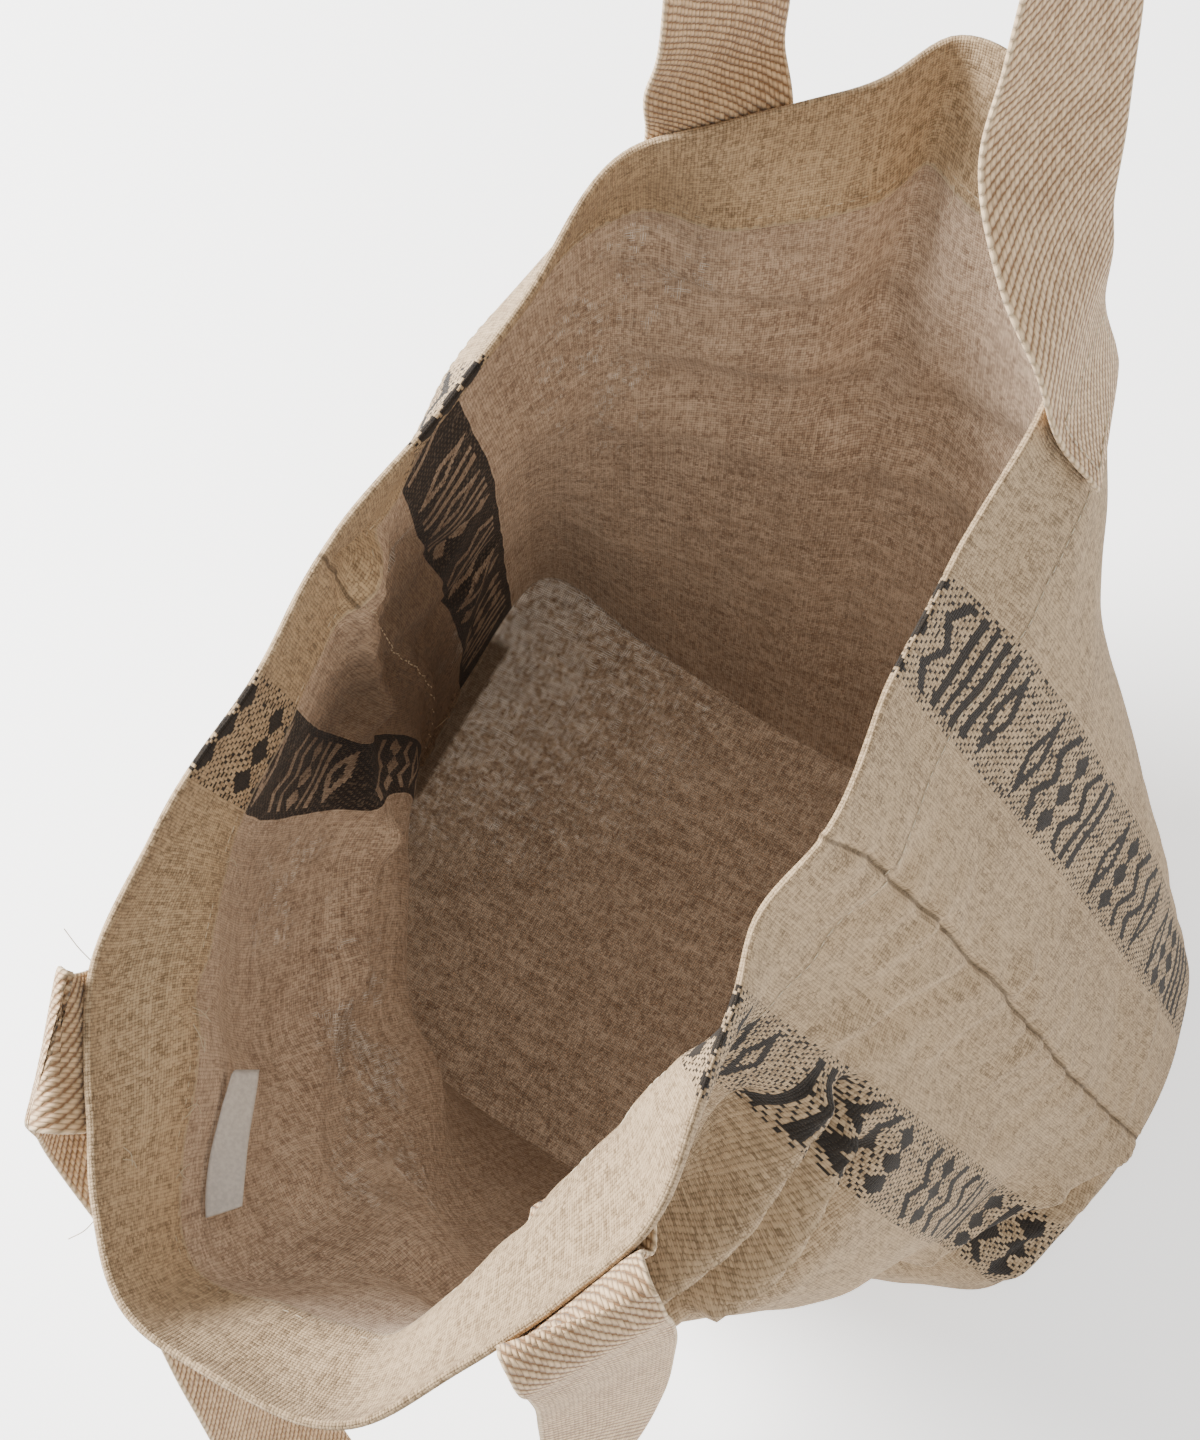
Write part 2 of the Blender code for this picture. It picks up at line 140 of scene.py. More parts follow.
# Smaller creases of the same kind, which are left to the finished cloth
CREASES = (
    Fold("front wall, shaded trough by the rim", 600, 236, 534, 252, -9.0, 7),
    Fold("front wall, first ridge from the strap end", 604, 220, 518, 241, 7.5, 5),
    Fold("front wall, second trough from the strap end", 604, 206, 510, 228, -9.5, 6),
    Fold("front wall, second ridge from the strap end", 590, 198, 524, 217, 6.5, 5),
    Fold("front wall, third trough from the strap end", 596, 184, 524, 205, -8.0, 8),
    Fold("front wall, short ridge under the strap end", 620, 232, 606, 196, 3.0, 6),
    Fold("crease across the right seam, top", 438, 275, 478, 292, -1.8, 5),
    Fold("crease across the right seam, upper", 441, 246, 476, 262, 1.8, 5),
    Fold("ridge from the right seam to the band", 459, 224, 500, 256, 3.2, 5),
    Fold("shade under that ridge", 461, 212, 498, 240, -2.6, 6),
    Fold("crease across the right seam, middle", 446, 216, 484, 236, -1.8, 5),
    Fold("crease across the right seam, lower", 446, 178, 484, 200, 2.2, 5),
    Fold("shade under that crease", 450, 168, 480, 186, -1.8, 5),
    Fold("crease across the right seam, low", 446, 132, 478, 150, 1.8, 6),
    Fold("crease beside the right seam", 466, 96, 490, 118, -1.6, 6),
    Fold("crease of the right gusset, first", 452, 60, 424, 86, -1.8, 6),
    Fold("crease of the right gusset, second", 450, 34, 418, 52, 2.0, 6),
    Fold("flap under the overhang", 476, 10, 524, 12, 6.0, 9),
    Fold("vertical trough inside the back wall", 224, 318, 206, 190, 4.0, 11),
    Fold("ridge beside that trough", 246, 300, 232, 200, -3.0, 12),
    Fold("drape under the back hem, first", 134, 266, 196, 252, -3.2, 7),
    Fold("drape under the back hem, second", 150, 250, 214, 236, 3.0, 7),
    Fold("drape of the back wall, third", 140, 226, 206, 214, -3.4, 9),
    Fold("drape of the back wall, fourth", 150, 204, 218, 196, 3.0, 9),
    Fold("drape of the back wall, fifth", 130, 180, 226, 168, -3.0, 10),
    Fold("drape of the back wall, sixth", 236, 196, 282, 214, 3.2, 8),
    Fold("drape of the back wall, seventh", 232, 168, 276, 176, -3.2, 8),
    Fold("long fold beside the left corner", 1, 264, 902, 196, -5.5, 9),
    Fold("long fold, middle", 902, 196, 842, 150, -6.5, 10),
    Fold("long fold, lower", 842, 150, 790, 160, -7.0, 10),
    Fold("long fold, front", 790, 160, 735, 205, -6.0, 11),
    Fold("bulge of the left seam under the hem", 6, 282, 12, 272, -8.0, 11),
    Fold("hollow in the left hem", 4, 302, 14, 294, 3.5, 6),
    Fold("crumple at the left seam, first", 918, 270, 16, 246, 4.0, 7),
    Fold("crumple at the left seam, second", 12, 240, 30, 214, -4.5, 7),
    Fold("crumple at the left seam, third", 24, 232, 44, 190, 4.0, 8),
    Fold("crumple at the left seam, fourth", 4, 216, 30, 176, -3.5, 8),
    Fold("crease down the left gusset", 52, 120, 20, 30, -3.0, 10),
    Fold("crease across the left gusset", 16, 150, 58, 128, 3.0, 8),
    Fold("soft fold beside the label", 790, 285, 776, 196, 1.6, 9),
    Fold("soft fold under the label", 712, 262, 684, 214, 2.0, 10),
    Fold("hollow in the front neck", 640, 270, 668, 240, -2.5, 10),
    Fold("back wall, outside, left hollow", 96, 200, 118, 90, -3.0, 16),
    Fold("back wall, outside, right hollow", 330, 230, 300, 110, -3.0, 18),
    Fold("front wall, outside, left ridge", 792, 240, 774, 120, 2.5, 12),
)

# Sharp folds: the cloth on the left of the run stands out by a third of the step and the
# cloth on its right is tucked in by the rest
Pleat = namedtuple("Pleat", "name from_along from_up to_along to_up step sharp reach")
PLEATS = (
    Pleat("overhang of the right corner, at the seam", 462, 5, 500, 40, 12, 1.8, 15),
    Pleat("overhang of the right corner, middle", 500, 40, 546, 62, 14, 2.0, 19),
    Pleat("overhang of the right corner, end", 546, 62, 600, 72, 11, 3.0, 19),
    Pleat("tuck under the overhang", 484, 8, 520, 22, 4, 1.8, 7),
    Pleat("pinch of the left hem", 1, 311, 18, 284, 4, 1.5, 7),
    Pleat("fold beside the left seam", 904, 200, 918, 262, 6, 2.0, 12),
    Pleat("crumple of the left gusset", 14, 262, 34, 226, 4, 1.8, 7),
)

# Places where the wall is pushed bodily towards the inside
Push = namedtuple("Push", "name along up reach_along reach_up push_x push_y")
PUSHES = (
    Push("left front corner", 836, 110, 74, 80, 22, 44),
)

# Free length of each strap from one rim crossing to the other: the middle of the
# webbing and the direction across it
StrapPoint = namedtuple("StrapPoint", "x y z across_x across_y across_z")
BACK_STRAP = (
    StrapPoint(-49, 161, 316, 0.58, 0.80, -0.13),
    StrapPoint(-44, 164, 334, 0.44, 0.89, -0.13),
    StrapPoint(-40, 167, 356, 0.28, 0.94, -0.18),
    StrapPoint(-38, 179, 400, 0.10, 0.95, -0.28),
    StrapPoint(-38, 198, 455, 0.02, 0.94, -0.34),
    StrapPoint(-32, 214, 505, 0.00, 0.93, -0.37),
    StrapPoint(-14, 227, 543, 0.00, 0.93, -0.38),
    StrapPoint(12, 230, 550, 0.00, 0.92, -0.40),
    StrapPoint(35, 222, 525, 0.02, 0.92, -0.41),
    StrapPoint(46, 207, 475, 0.06, 0.91, -0.42),
    StrapPoint(48, 185, 403, 0.18, 0.88, -0.42),
    StrapPoint(50, 170, 375, 0.35, 0.87, -0.35),
    StrapPoint(51, 158, 354, 0.47, 0.85, -0.27),
    StrapPoint(57, 146, 333, 0.20, 0.95, -0.22),
    StrapPoint(64, 139, 316, -0.06, 0.99, -0.10),
)
FRONT_STRAP = (
    StrapPoint(78, -123, 291, -0.47, -0.88, 0.00),
    StrapPoint(83, -128, 284, -0.50, -0.86, 0.00),
    StrapPoint(83, -132, 262, -0.52, -0.85, 0.04),
    StrapPoint(77, -145, 208, -0.50, -0.85, 0.13),
    StrapPoint(73, -160, 167, -0.42, -0.88, 0.22),
    StrapPoint(69, -180, 136, -0.32, -0.88, 0.34),
    StrapPoint(61, -205, 108, -0.20, -0.85, 0.46),
    StrapPoint(45, -228, 88, -0.12, -0.84, 0.52),
    StrapPoint(20, -242, 80, -0.02, -0.85, 0.52),
    StrapPoint(-4, -240, 94, 0.06, -0.88, 0.46),
    StrapPoint(-21, -223, 130, 0.10, -0.92, 0.38),
    StrapPoint(-35, -197, 182, 0.20, -0.95, 0.22),
    StrapPoint(-60, -160, 242, 0.28, -0.95, 0.05),
    StrapPoint(-74, -143, 282, 0.34, -0.93, -0.06),
    StrapPoint(-73, -139, 300, 0.40, -0.91, -0.08),
    StrapPoint(-66, -138, 307, 0.52, -0.85, -0.03),
)

# The woven bands: where each lies along the rim
Band = namedtuple("Band", "name from_along to_along")
BANDS = (
    Band("back wall, left", 37, 68),
    Band("back wall, right", 384, 415),
    Band("front wall, right", 503, 535),
    Band("front wall, left", 857, 888),
)

# Patches where the weave has slipped open, with painted daylight and glow in the holes and the
# slack weave painted darker, and the share of the holes that show it
Patch = namedtuple("Patch", "name along up reach_along reach_up share")
OPEN_PATCHES = (
    Patch("back wall under the hem", 140, 258, 30, 26, 0.5),
    Patch("back wall, left", 118, 210, 30, 60, 0.45),
    Patch("front wall by the long fold", 775, 150, 38, 30, 0.8),
    Patch("front wall, lower", 722, 172, 26, 30, 0.5),
    Patch("front wall, left", 828, 196, 26, 34, 0.4),
    Patch("left gusset, low", 34, 92, 20, 26, 0.9),
    Patch("left gusset, high", 20, 150, 16, 20, 0.5),
)

# Lines where a seam has pulled the threads apart, with painted daylight and painted shade in them
NeedleRow = namedtuple("NeedleRow", "name from_along from_up to_along to_up reach")
NEEDLE_ROWS = (
    NeedleRow("left gusset under the hem", 35, 242, 13, 244, 2.2),
    NeedleRow("left gusset at the foot", 49, 56, 30, 49, 2.6),
    NeedleRow("along the back foot seam", 66, 2, 150, 1, 2.0),
)
# Strength of the painted glow of the painted daylight in the slack weave
DAYLIGHT_STRENGTH = 0.10

# Painted glow, standing in for daylight that comes through the thin cloth and shows on its
# wrong side, high up the walls and at their foot, on the base and on the hem facing
GLOW_WALL = 0.27
GLOW_FOOT = 0.10
GLOW_BASE = 0.22
GLOW_HEM = 0.14
STITCH_UP = 289 * MM
GLOW_REACH = 200 * MM

# The base's own cloth coordinates lie apart from the walls': its x and y, both shifted
BASE_UV_SHIFT = 2.0
BASE_UV_RISE = 1.0
BASE_START = BASE_UV_SHIFT - 0.5
WALL_END = BASE_UV_RISE / 2

# Where the base's weave is slack, from none to most, along and across the base; painted
# daylight and painted shade show there
BASE_SLACK_ALONG = (BASE_UV_SHIFT - 20 * MM, BASE_UV_SHIFT - 170 * MM)
BASE_SLACK_UP = (BASE_UV_RISE - 80 * MM, BASE_UV_RISE + 50 * MM)

# The turning of the left cross seam that lies on the base, where no daylight comes through:
# painted shade darkens it, and no painted daylight shows there
TURNING_SHADE_ALONG = (BASE_UV_SHIFT - 153 * MM, BASE_UV_SHIFT - 156 * MM)
TURNING_SHADE_UP = (BASE_UV_RISE - 22 * MM, BASE_UV_RISE + 52 * MM)

# The part of the left gusset that is folded on itself, out of the light: painted shade
# darkens it and it gets no painted glow
GUSSET_SHADE_ALONG = (72 * MM, 22 * MM)
GUSSET_SHADE_UP = (280 * MM, 215 * MM)


def station_column(column, along):
    """One column of the station table around the closed rim."""
    places = np.array([row.along for row in STATIONS]) * MM
    values = np.array([getattr(row, column) for row in STATIONS]) * MM
    places = np.concatenate([places - GIRTH, places, places + GIRTH])
    values = np.concatenate([values, values, values])
    return smooth_curve(places, values, np.mod(along, GIRTH))


def smooth_curve(places, values, at):
    """Cubic curve through the values, read at any place."""
    shape = (-1,) + (1,) * (values.ndim - 1)
    steps = np.diff(places)
    slopes = np.diff(values, axis=0) / steps.reshape(shape)
    tangents = np.empty_like(values, dtype=float)
    tangents[0] = slopes[0]
    tangents[-1] = slopes[-1]
    before = steps[:-1].reshape(shape)
    after = steps[1:].reshape(shape)
    tangents[1:-1] = (slopes[:-1] * after + slopes[1:] * before) / (before + after)
    index = np.clip(np.searchsorted(places, at, side="right") - 1, 0, len(places) - 2)
    step = places[index + 1] - places[index]
    t = (at - places[index]) / step
    if values.ndim > 1:
        t = t[..., None]
        step = step[..., None]
    start = (2 * t**3 - 3 * t**2 + 1) * values[index] + (t**3 - 2 * t**2 + t) * step * tangents[index]
    end = (3 * t**2 - 2 * t**3) * values[index + 1] + (t**3 - t**2) * step * tangents[index + 1]
    return start + end


def swell(share, middle, below, above):
    """Smooth hump that reaches its top at a share of the height."""
    reach = np.where(share < middle, below, above)
    distance = np.clip(np.abs(share - middle) / reach, 0, 1)
    return 0.5 * (1 + np.cos(math.pi * distance))


def outward(along):
    """Level direction out of the bag."""
    reach = 12 * MM
    run = []
    for axis in "xy":
        ahead = station_column("rim_" + axis, along + reach) + station_column("foot_" + axis, along + reach)
        behind = station_column("rim_" + axis, along - reach) + station_column("foot_" + axis, along - reach)
        run.append(ahead - behind)
    length = np.hypot(run[0], run[1])
    return np.stack([-run[1] / length, run[0] / length, 0 * along], -1)


def around(along, place):
    """Distance along the rim to a place, the short way round."""
    return (along - place + GIRTH / 2) % GIRTH - GIRTH / 2


def fold_depth(folds, along, up):
    """How far a table of folds moves the cloth out at a place on it."""
    total = np.zeros(np.shape(along))
    for fold in folds:
        run = around(fold.to_along * MM, fold.from_along * MM)
        rise = (fold.to_up - fold.from_up) * MM
        aside = around(along, fold.from_along * MM)
        above = up - fold.from_up * MM
        share = np.clip((aside * run + above * rise) / (run * run + rise * rise), 0, 1)
        distance = np.hypot(aside - share * run, above - share * rise)
        total = total + fold.depth * MM * np.exp(-((distance / (fold.width * MM)) ** 2))
    return total


def pleat_depth(along, up):
    """How far the sharp folds move the cloth out at a place on it."""
    total = np.zeros(np.shape(along))
    for pleat in PLEATS:
        run = around(pleat.to_along * MM, pleat.from_along * MM)
        rise = (pleat.to_up - pleat.from_up) * MM
        length = math.hypot(run, rise)
        aside = around(along, pleat.from_along * MM)
        above = up - pleat.from_up * MM
        distance = (run * above - rise * aside) / length
        forward = (aside * run + above * rise) / length
        beyond = np.maximum(np.maximum(-forward, forward - length), 0)
        near = np.exp(-((distance / (pleat.reach * MM)) ** 2) - (beyond / (PLEAT_END * MM)) ** 2)
        side = 0.5 * np.tanh(distance / (pleat.sharp * MM)) + PLEAT_OUT - 0.5
        total = total + pleat.step * MM * side * near
    return total


def ripple(along, up, pitch_along, pitch_up, seed):
    """Smooth unevenness between -1 and 1 made of crossing waves."""
    rng = np.random.default_rng(seed)
    total = 0
    for _ in range(5):
        turns = max(1, round(GIRTH / pitch_along * rng.uniform(0.6, 1.5)))
        tilt = rng.uniform(-1.2, 1.2) * 2 * math.pi / pitch_up
        phase = rng.uniform(0, 2 * math.pi)
        total = total + np.sin(2 * math.pi * turns * along / GIRTH + tilt * up + phase)
    return total / 5


def seam_line(up, seam):
    """Where a side seam runs, which is not quite straight and drifts back as it climbs."""
    drift = np.clip((up - 90 * MM) / (110 * MM), 0, 1) * np.clip((WALL_HEIGHT - up) / (25 * MM), 0, 1)
    return seam - SEAM_DRIFT * drift + SEAM_WANDER * ripple(0 * up, up, 60 * MM, 46 * MM, 41)


def seam_pucker(along, up):
    """Small gathers that the side seams draw in the cloth, and the groove of each seam."""
    total = np.zeros(np.shape(along))
    for seam, seed, groove in ((0.0, 3, 0.3), (PANEL_WIDTH, 4, 1.0)):
        aside = around(along, seam_line(up, seam))
        sway = 2.4 * ripple(along * 0, up, 60 * MM, 90 * MM, seed)
        wave = np.sin(2 * math.pi * (up - 0.6 * np.abs(aside)) / (19 * MM) + sway)
        size = np.where(aside > 0, PUCKER_DEPTH, 0.6 * PUCKER_DEPTH)
        total = total + size * wave * np.exp(-np.abs(aside) / (13 * MM))
        total = total - groove * GROOVE_DEPTH * np.exp(-((aside / GROOVE_WIDTH) ** 2))
    return total


def hem_pucker(along, up):
    """Ripples that the hem's stitch line draws in the cloth, and a slightly wavy rim."""
    near = np.exp(-(((up - WALL_HEIGHT + HEM_DEPTH) / (9 * MM)) ** 2))
    wave = ripple(along, up, 21 * MM, 300 * MM, 11)
    rim = np.clip((up - WALL_HEIGHT + HEM_DEPTH) / HEM_DEPTH, 0, 1)
    return 0.5 * MM * wave * near + 0.7 * MM * rim * ripple(along, up, 64 * MM, 400 * MM, 12)


def cloth_point(along, up, relief=True):
    """Outer face of the linen at a place given along the rim and up from the foot."""
    share = up / WALL_HEIGHT
    rim = np.stack([station_column(name, along) for name in ("rim_x", "rim_y", "rim_z")], -1)
    foot = np.stack([station_column("foot_x", along), station_column("foot_y", along), 0 * along], -1)
    shoulder = station_column("shoulder", along)
    hem_line = 1 - HEM_DEPTH / WALL_HEIGHT
    neck = swell(share, hem_line, NECK_REACH_SHARE, 1 - hem_line)
    still_at_foot = np.clip(up / FOLD_FOOT_FADE, 0, 1)
    still_at_rim = np.clip((1 - share) / FOLD_RIM_FADE_SHARE, 0, 1)
    out = station_column("belly", along) * np.sin(math.pi * share)
    out = out + shoulder * neck
    out = out + fold_depth(FOLDS, along, up) * still_at_foot * still_at_rim
    if relief:
        at_foot = np.clip(up / (12 * MM), 0, 1)
        small = fold_depth(CREASES, along, up) + 0.9 * MM * ripple(along, up, 90 * MM, 120 * MM, 5)
        small = small + 0.45 * MM * ripple(along, up, 24 * MM, 34 * MM, 6) + pleat_depth(along, up)
        out = out + (small + seam_pucker(along, up)) * at_foot * np.clip((1 - share) / 0.05, 0.25, 1)
        out = out + hem_pucker(along, up)
    point = foot + (rim - foot) * share[..., None] + outward(along) * out[..., None]
    point[..., 2] += NECK_LIFT * np.maximum(-shoulder, 0) * neck
    for push in PUSHES:
        near = np.exp(-((around(along, push.along * MM) / (push.reach_along * MM)) ** 2)
                      - ((up - push.up * MM) / (push.reach_up * MM)) ** 2)
        near = near * np.clip(up / PUSH_FOOT_FADE, 0, 1)
        near = near * np.clip((WALL_HEIGHT - up) / PUSH_RIM_FADE, 0, 1)
        point[..., 0] += push.push_x * MM * near
        point[..., 1] += push.push_y * MM * near
    return point


def cloth_normal(along, up, relief=True):
    """Direction square to the linen's outer face."""
    reach = NORMAL_REACH
    run = cloth_point(along + reach, up, relief) - cloth_point(along - reach, up, relief)
    top = np.minimum(up + reach, WALL_HEIGHT)
    rise = cloth_point(along, top, relief) - cloth_point(along, np.maximum(up - reach, 0), relief)
    normal = np.cross(rise, run)
    return normal / np.linalg.norm(normal, axis=-1, keepdims=True)


def linear(code):
    """Blender's linear colour for an sRGB hex value."""
    values = []
    for start in (1, 3, 5):
        part = int(code[start:start + 2], 16) / 255
        values.append(part / 12.92 if part <= 0.04045 else ((part + 0.055) / 1.055) ** 2.4)
    return (*values, 1.0)


def rgba(colour):
    """A colour property as four linear values."""
    return (*colour, 1.0)


class Value:
    """One output of a node, which is reckoned with like a number."""

    def __init__(self, socket):
        self.socket = socket

    def __rsub__(self, other):
        return add_node(self.socket.id_data, "ShaderNodeMath", (other, self), operation="SUBTRACT")

    def beside(self, name):
        """Another output of the same node."""
        return Value(self.socket.node.outputs[name])


def add_node(tree, kind, inputs=(), output=0, **settings):
    """Add a node with its settings and links, and return one of its outputs.

    The inputs are given in order, or each by its name or number: an output of another
    node, or a constant.
    """
    node = tree.nodes.new(kind)
    for name, value in settings.items():
        setattr(node, name, value)
    for name, value in inputs.items() if isinstance(inputs, dict) else enumerate(inputs):
        if isinstance(value, Value):
            tree.links.new(value.socket, node.inputs[name])
        else:
            node.inputs[name].default_value = value
    return Value(node.outputs[output]) if node.outputs else node


# The operation that stands for each sign of Python's arithmetic between such values
SIGNS = {
    "__add__": "ADD", "__radd__": "ADD", "__sub__": "SUBTRACT", "__mul__": "MULTIPLY",
    "__truediv__": "DIVIDE", "__mod__": "FLOORED_MODULO", "__pow__": "POWER", "__abs__": "ABSOLUTE",
    "__floor__": "FLOOR", "__lt__": "LESS_THAN", "__gt__": "GREATER_THAN",
}
for sign, operation in SIGNS.items():
    setattr(Value, sign, lambda *values, operation=operation: add_node(
        values[0].socket.id_data, "ShaderNodeMath", values, operation=operation))


def largest(*values):
    """The largest of several node values."""
    tree = values[0].socket.id_data
    return reduce(lambda *pair: add_node(tree, "ShaderNodeMath", pair, operation="MAXIMUM"), values)


def start_finish(name):
    """A new material, its shader and the function that adds its nodes."""
    material = bpy.data.materials.new(name)
    material.use_nodes = True
    tree = material.node_tree
    return material, tree.nodes["Principled BSDF"], partial(add_node, tree)


# Settings that many nodes share
FLAT = {"noise_dimensions": "2D"}
SMOOTH = {"interpolation_type": "SMOOTHSTEP"}
COLOUR = {"data_type": "RGBA"}

# Weave of the linen: plain, drawn a little coarser than the real 12 threads to the
# centimetre so that single threads show in the render. Threads wander by a share of
# their pitch, and swell and thin (slubs) along their length.
THREAD_PITCH = 0.9 * MM
WEAVE_SWAY = 0.8
SWAY_SCALES = (90.0, 70.0)
THREAD_ROUNDING = 0.6
THREAD_HEIGHT = 0.66
CROSSING_RISE = 0.32
SLUBS_PER_METRE = 230.0
SLUB_DEPTH = 0.7
SLUB_REST = 0.65

# How much each kind of unevenness counts in the cloth's tone, from dark to light
THREAD_TONE = 0.16
FLECK_TONE = 0.30
# The relief's share is painted shading: raised threads lighter, low ones darker
RELIEF_TONE = 0.42
MOTTLE_TONE = 0.34
CLOUD_TONE = 0.20
TONE_RANGE = (0.10, 0.76)

# Widths of the bands, the step from motif to motif and the places of the ground's flecks
BAND_WIDTH = 31 * MM
MOTIF_PITCH = 14 * MM
MOTIFS_TO_GAP = 6.0
MOTIF_REACH = 13.0
LATTICE_STEP = 5.0

# Webbing: warp floats 1.3 mm apart that climb by a third of their length at each column
FLOAT_PITCH = 1.25 * MM
FLOAT_LENGTH = 2.9 * MM
TWILL_STEP = 0.40
RIB_SHARE = 0.65
FLOAT_SHARE = 0.86
SELVEDGE_EDGE = (18.8 * MM, 19.5 * MM)

Weave = namedtuple("Weave", "warp_number weft_number near_warp near_weft warp_slub weft_slub "
                            "relief height warp_on_top")


def plain_weave(add, spot, along, up):
    """Thread numbers and relief of the plain weave at a place on the cloth."""
    counts = []
    for value, scale in zip((along, up), SWAY_SCALES):
        sway = add("ShaderNodeTexNoise", {"Vector": spot, "Scale": scale, "Detail": 0.0}, **FLAT) - 0.5
        counts.append(value / THREAD_PITCH + sway * WEAVE_SWAY)
    warp_number, weft_number = (math.floor(count) for count in counts)
    sin_warp, sin_weft = (add("ShaderNodeMath", [count * math.pi], operation="SINE") for count in counts)
    near_warp, near_weft = abs(sin_warp), abs(sin_weft)
    slubs = []
    for x, y in ((warp_number * 7.31, up * SLUBS_PER_METRE), (along * SLUBS_PER_METRE, weft_number * 5.17)):
        run = add("ShaderNodeCombineXYZ", (x, y))
        slubs.append(add("ShaderNodeTexNoise", {"Vector": run, "Scale": 1.0, "Detail": 1.0}, **FLAT))
    top = sin_warp * sin_weft
    warp = near_warp ** THREAD_ROUNDING * (top * CROSSING_RISE + THREAD_HEIGHT)
    weft = near_weft ** THREAD_ROUNDING * (top * -CROSSING_RISE + THREAD_HEIGHT)
    relief = largest(warp, weft)
    warp, weft = (thread * (slub * SLUB_DEPTH + SLUB_REST) for thread, slub in zip((warp, weft), slubs))
    height = largest(warp, weft)
    return Weave(warp_number, weft_number, near_warp, near_weft, *slubs, relief, height, warp > weft)


def motif_mask(add, across, up, band_seed):
    """Lozenges, bars, zigzags and diamonds one after another up a band, at most 26 mm wide."""
    place = up / MOTIF_PITCH
    number = math.floor(place)
    x = (place % 1.0 - 0.5) * (MOTIF_PITCH / MM)
    y = across * (1 / MM)
    far_x = abs(x)
    far_y = abs(y)
    slow, fast = (add("ShaderNodeMath", (y, turn), operation="PINGPONG") for turn in (6.5, 4.4))
    lozenge = abs(far_x / 6.2 + far_y / 13.5 - 0.74) < 0.26
    bars = abs(far_x - 3.5) < 1.7
    zigzag = abs(x - slow + 3.25) < 2.2
    diamonds = far_x / 5.6 + fast / 4.6 < 1.0
    draw = add("ShaderNodeCombineXYZ", (number, band_seed, 3.0))
    pick = add("ShaderNodeTexWhiteNoise", {"Vector": draw}) * 4.0
    shapes = [shape * (abs(pick - (index + 0.5)) < 0.5)
              for index, shape in enumerate((lozenge, bars, zigzag, diamonds))]
    not_gap = number % MOTIFS_TO_GAP > 0.5
    return largest(*shapes) * (far_y < MOTIF_REACH) * not_gap


def band_ink(add, weave, fleck, wrong_side):
    """Where the bands' dark yarn shows: motifs on a ground of regular flecks.

    The wrong side shows them the other way round, as weaving does.
    """
    cell_along = (weave.warp_number + 0.5) * THREAD_PITCH
    cell_up = (weave.weft_number + 0.5) * THREAD_PITCH
    ground = (weave.warp_number + weave.weft_number * 2.0) % LATTICE_STEP < 0.5
    ground = largest(ground * (fleck < 0.9), fleck > 0.93)
    across, band_seed, in_band = [], [], []
    for index, band in enumerate(BANDS):
        aside = cell_along - (band.from_along + band.to_along) / 2 * MM
        within = abs(aside) < BAND_WIDTH / 2
        across.append(within * aside)
        band_seed.append(within * (index * 3.7 + 1.0))
        in_band.append(within)
    motif = motif_mask(add, sum(across), cell_up, sum(band_seed)) * (fleck < 0.95)
    ink = largest(motif, ground)
    if wrong_side:
        ink = 1.0 - largest(motif * 0.7, ground * 0.16)
    return sum(in_band) * ink * add("ShaderNodeMapRange", (weave.height, 0.10, 0.34), **SMOOTH)


def slack_places(add, spot, along, up):
    """Where the weave is open: slipped patches, needle rows and the base's left side."""
    places = []
    for patch in OPEN_PATCHES:
        aside = (along - patch.along * MM) / (patch.reach_along * MM)
        above = (up - patch.up * MM) / (patch.reach_up * MM)
        near = add("ShaderNodeMapRange", (aside * aside + above * above, 1.3, 0.1), **SMOOTH)
        places.append(near * patch.share)
    uneven = add("ShaderNodeTexNoise", {"Vector": spot, "Scale": 60.0}, **FLAT)
    uneven = add("ShaderNodeMapRange", (uneven, 0.36, 0.62), **SMOOTH)
    places = [largest(*places) * uneven]
    for row in NEEDLE_ROWS:
        run, rise = row.to_along - row.from_along, row.to_up - row.from_up
        length = math.hypot(run, rise)
        aside = along - row.from_along * MM
        above = up - row.from_up * MM
        forward = aside * (run / length) + above * (rise / length)
        off = abs(above * (run / length) - aside * (rise / length))
        reach = row.reach * MM
        places.append(between(add, forward, 0.0, length * MM, 3 * MM)
                      * add("ShaderNodeMapRange", (off, 1.5 * reach, 0.5 * reach), **SMOOTH))
    base = along > BASE_START
    for value, (none, most) in ((along, BASE_SLACK_ALONG), (up, BASE_SLACK_UP)):
        base = base * add("ShaderNodeMapRange", (value, none, most), **SMOOTH)
    places.append(base)
    return largest(*places)


def between(add, value, low, high, soft):
    """1 between two limits and 0 outside, with soft edges."""
    rise = add("ShaderNodeMapRange", (value, low - soft, low + soft), **SMOOTH)
    return rise * add("ShaderNodeMapRange", (value, high + soft, high - soft), **SMOOTH)


def open_lines(add, weave, slack):
    """Painted daylight: lines along the threads where slack weave lets the table's light through."""
    lines = []
    for near, slub in ((weave.near_warp, weave.warp_slub), (weave.near_weft, weave.weft_slub)):
        start = 0.70 - slack * 0.27
        opened = add("ShaderNodeMapRange", (slub, start, start + 0.10), **SMOOTH)
        lines.append(opened * add("ShaderNodeMapRange", (near, 0.62, 0.12), **SMOOTH))
    shown = add("ShaderNodeMapRange", (slack, 0.02, 0.3), **SMOOTH)
    return largest(*lines) * shown


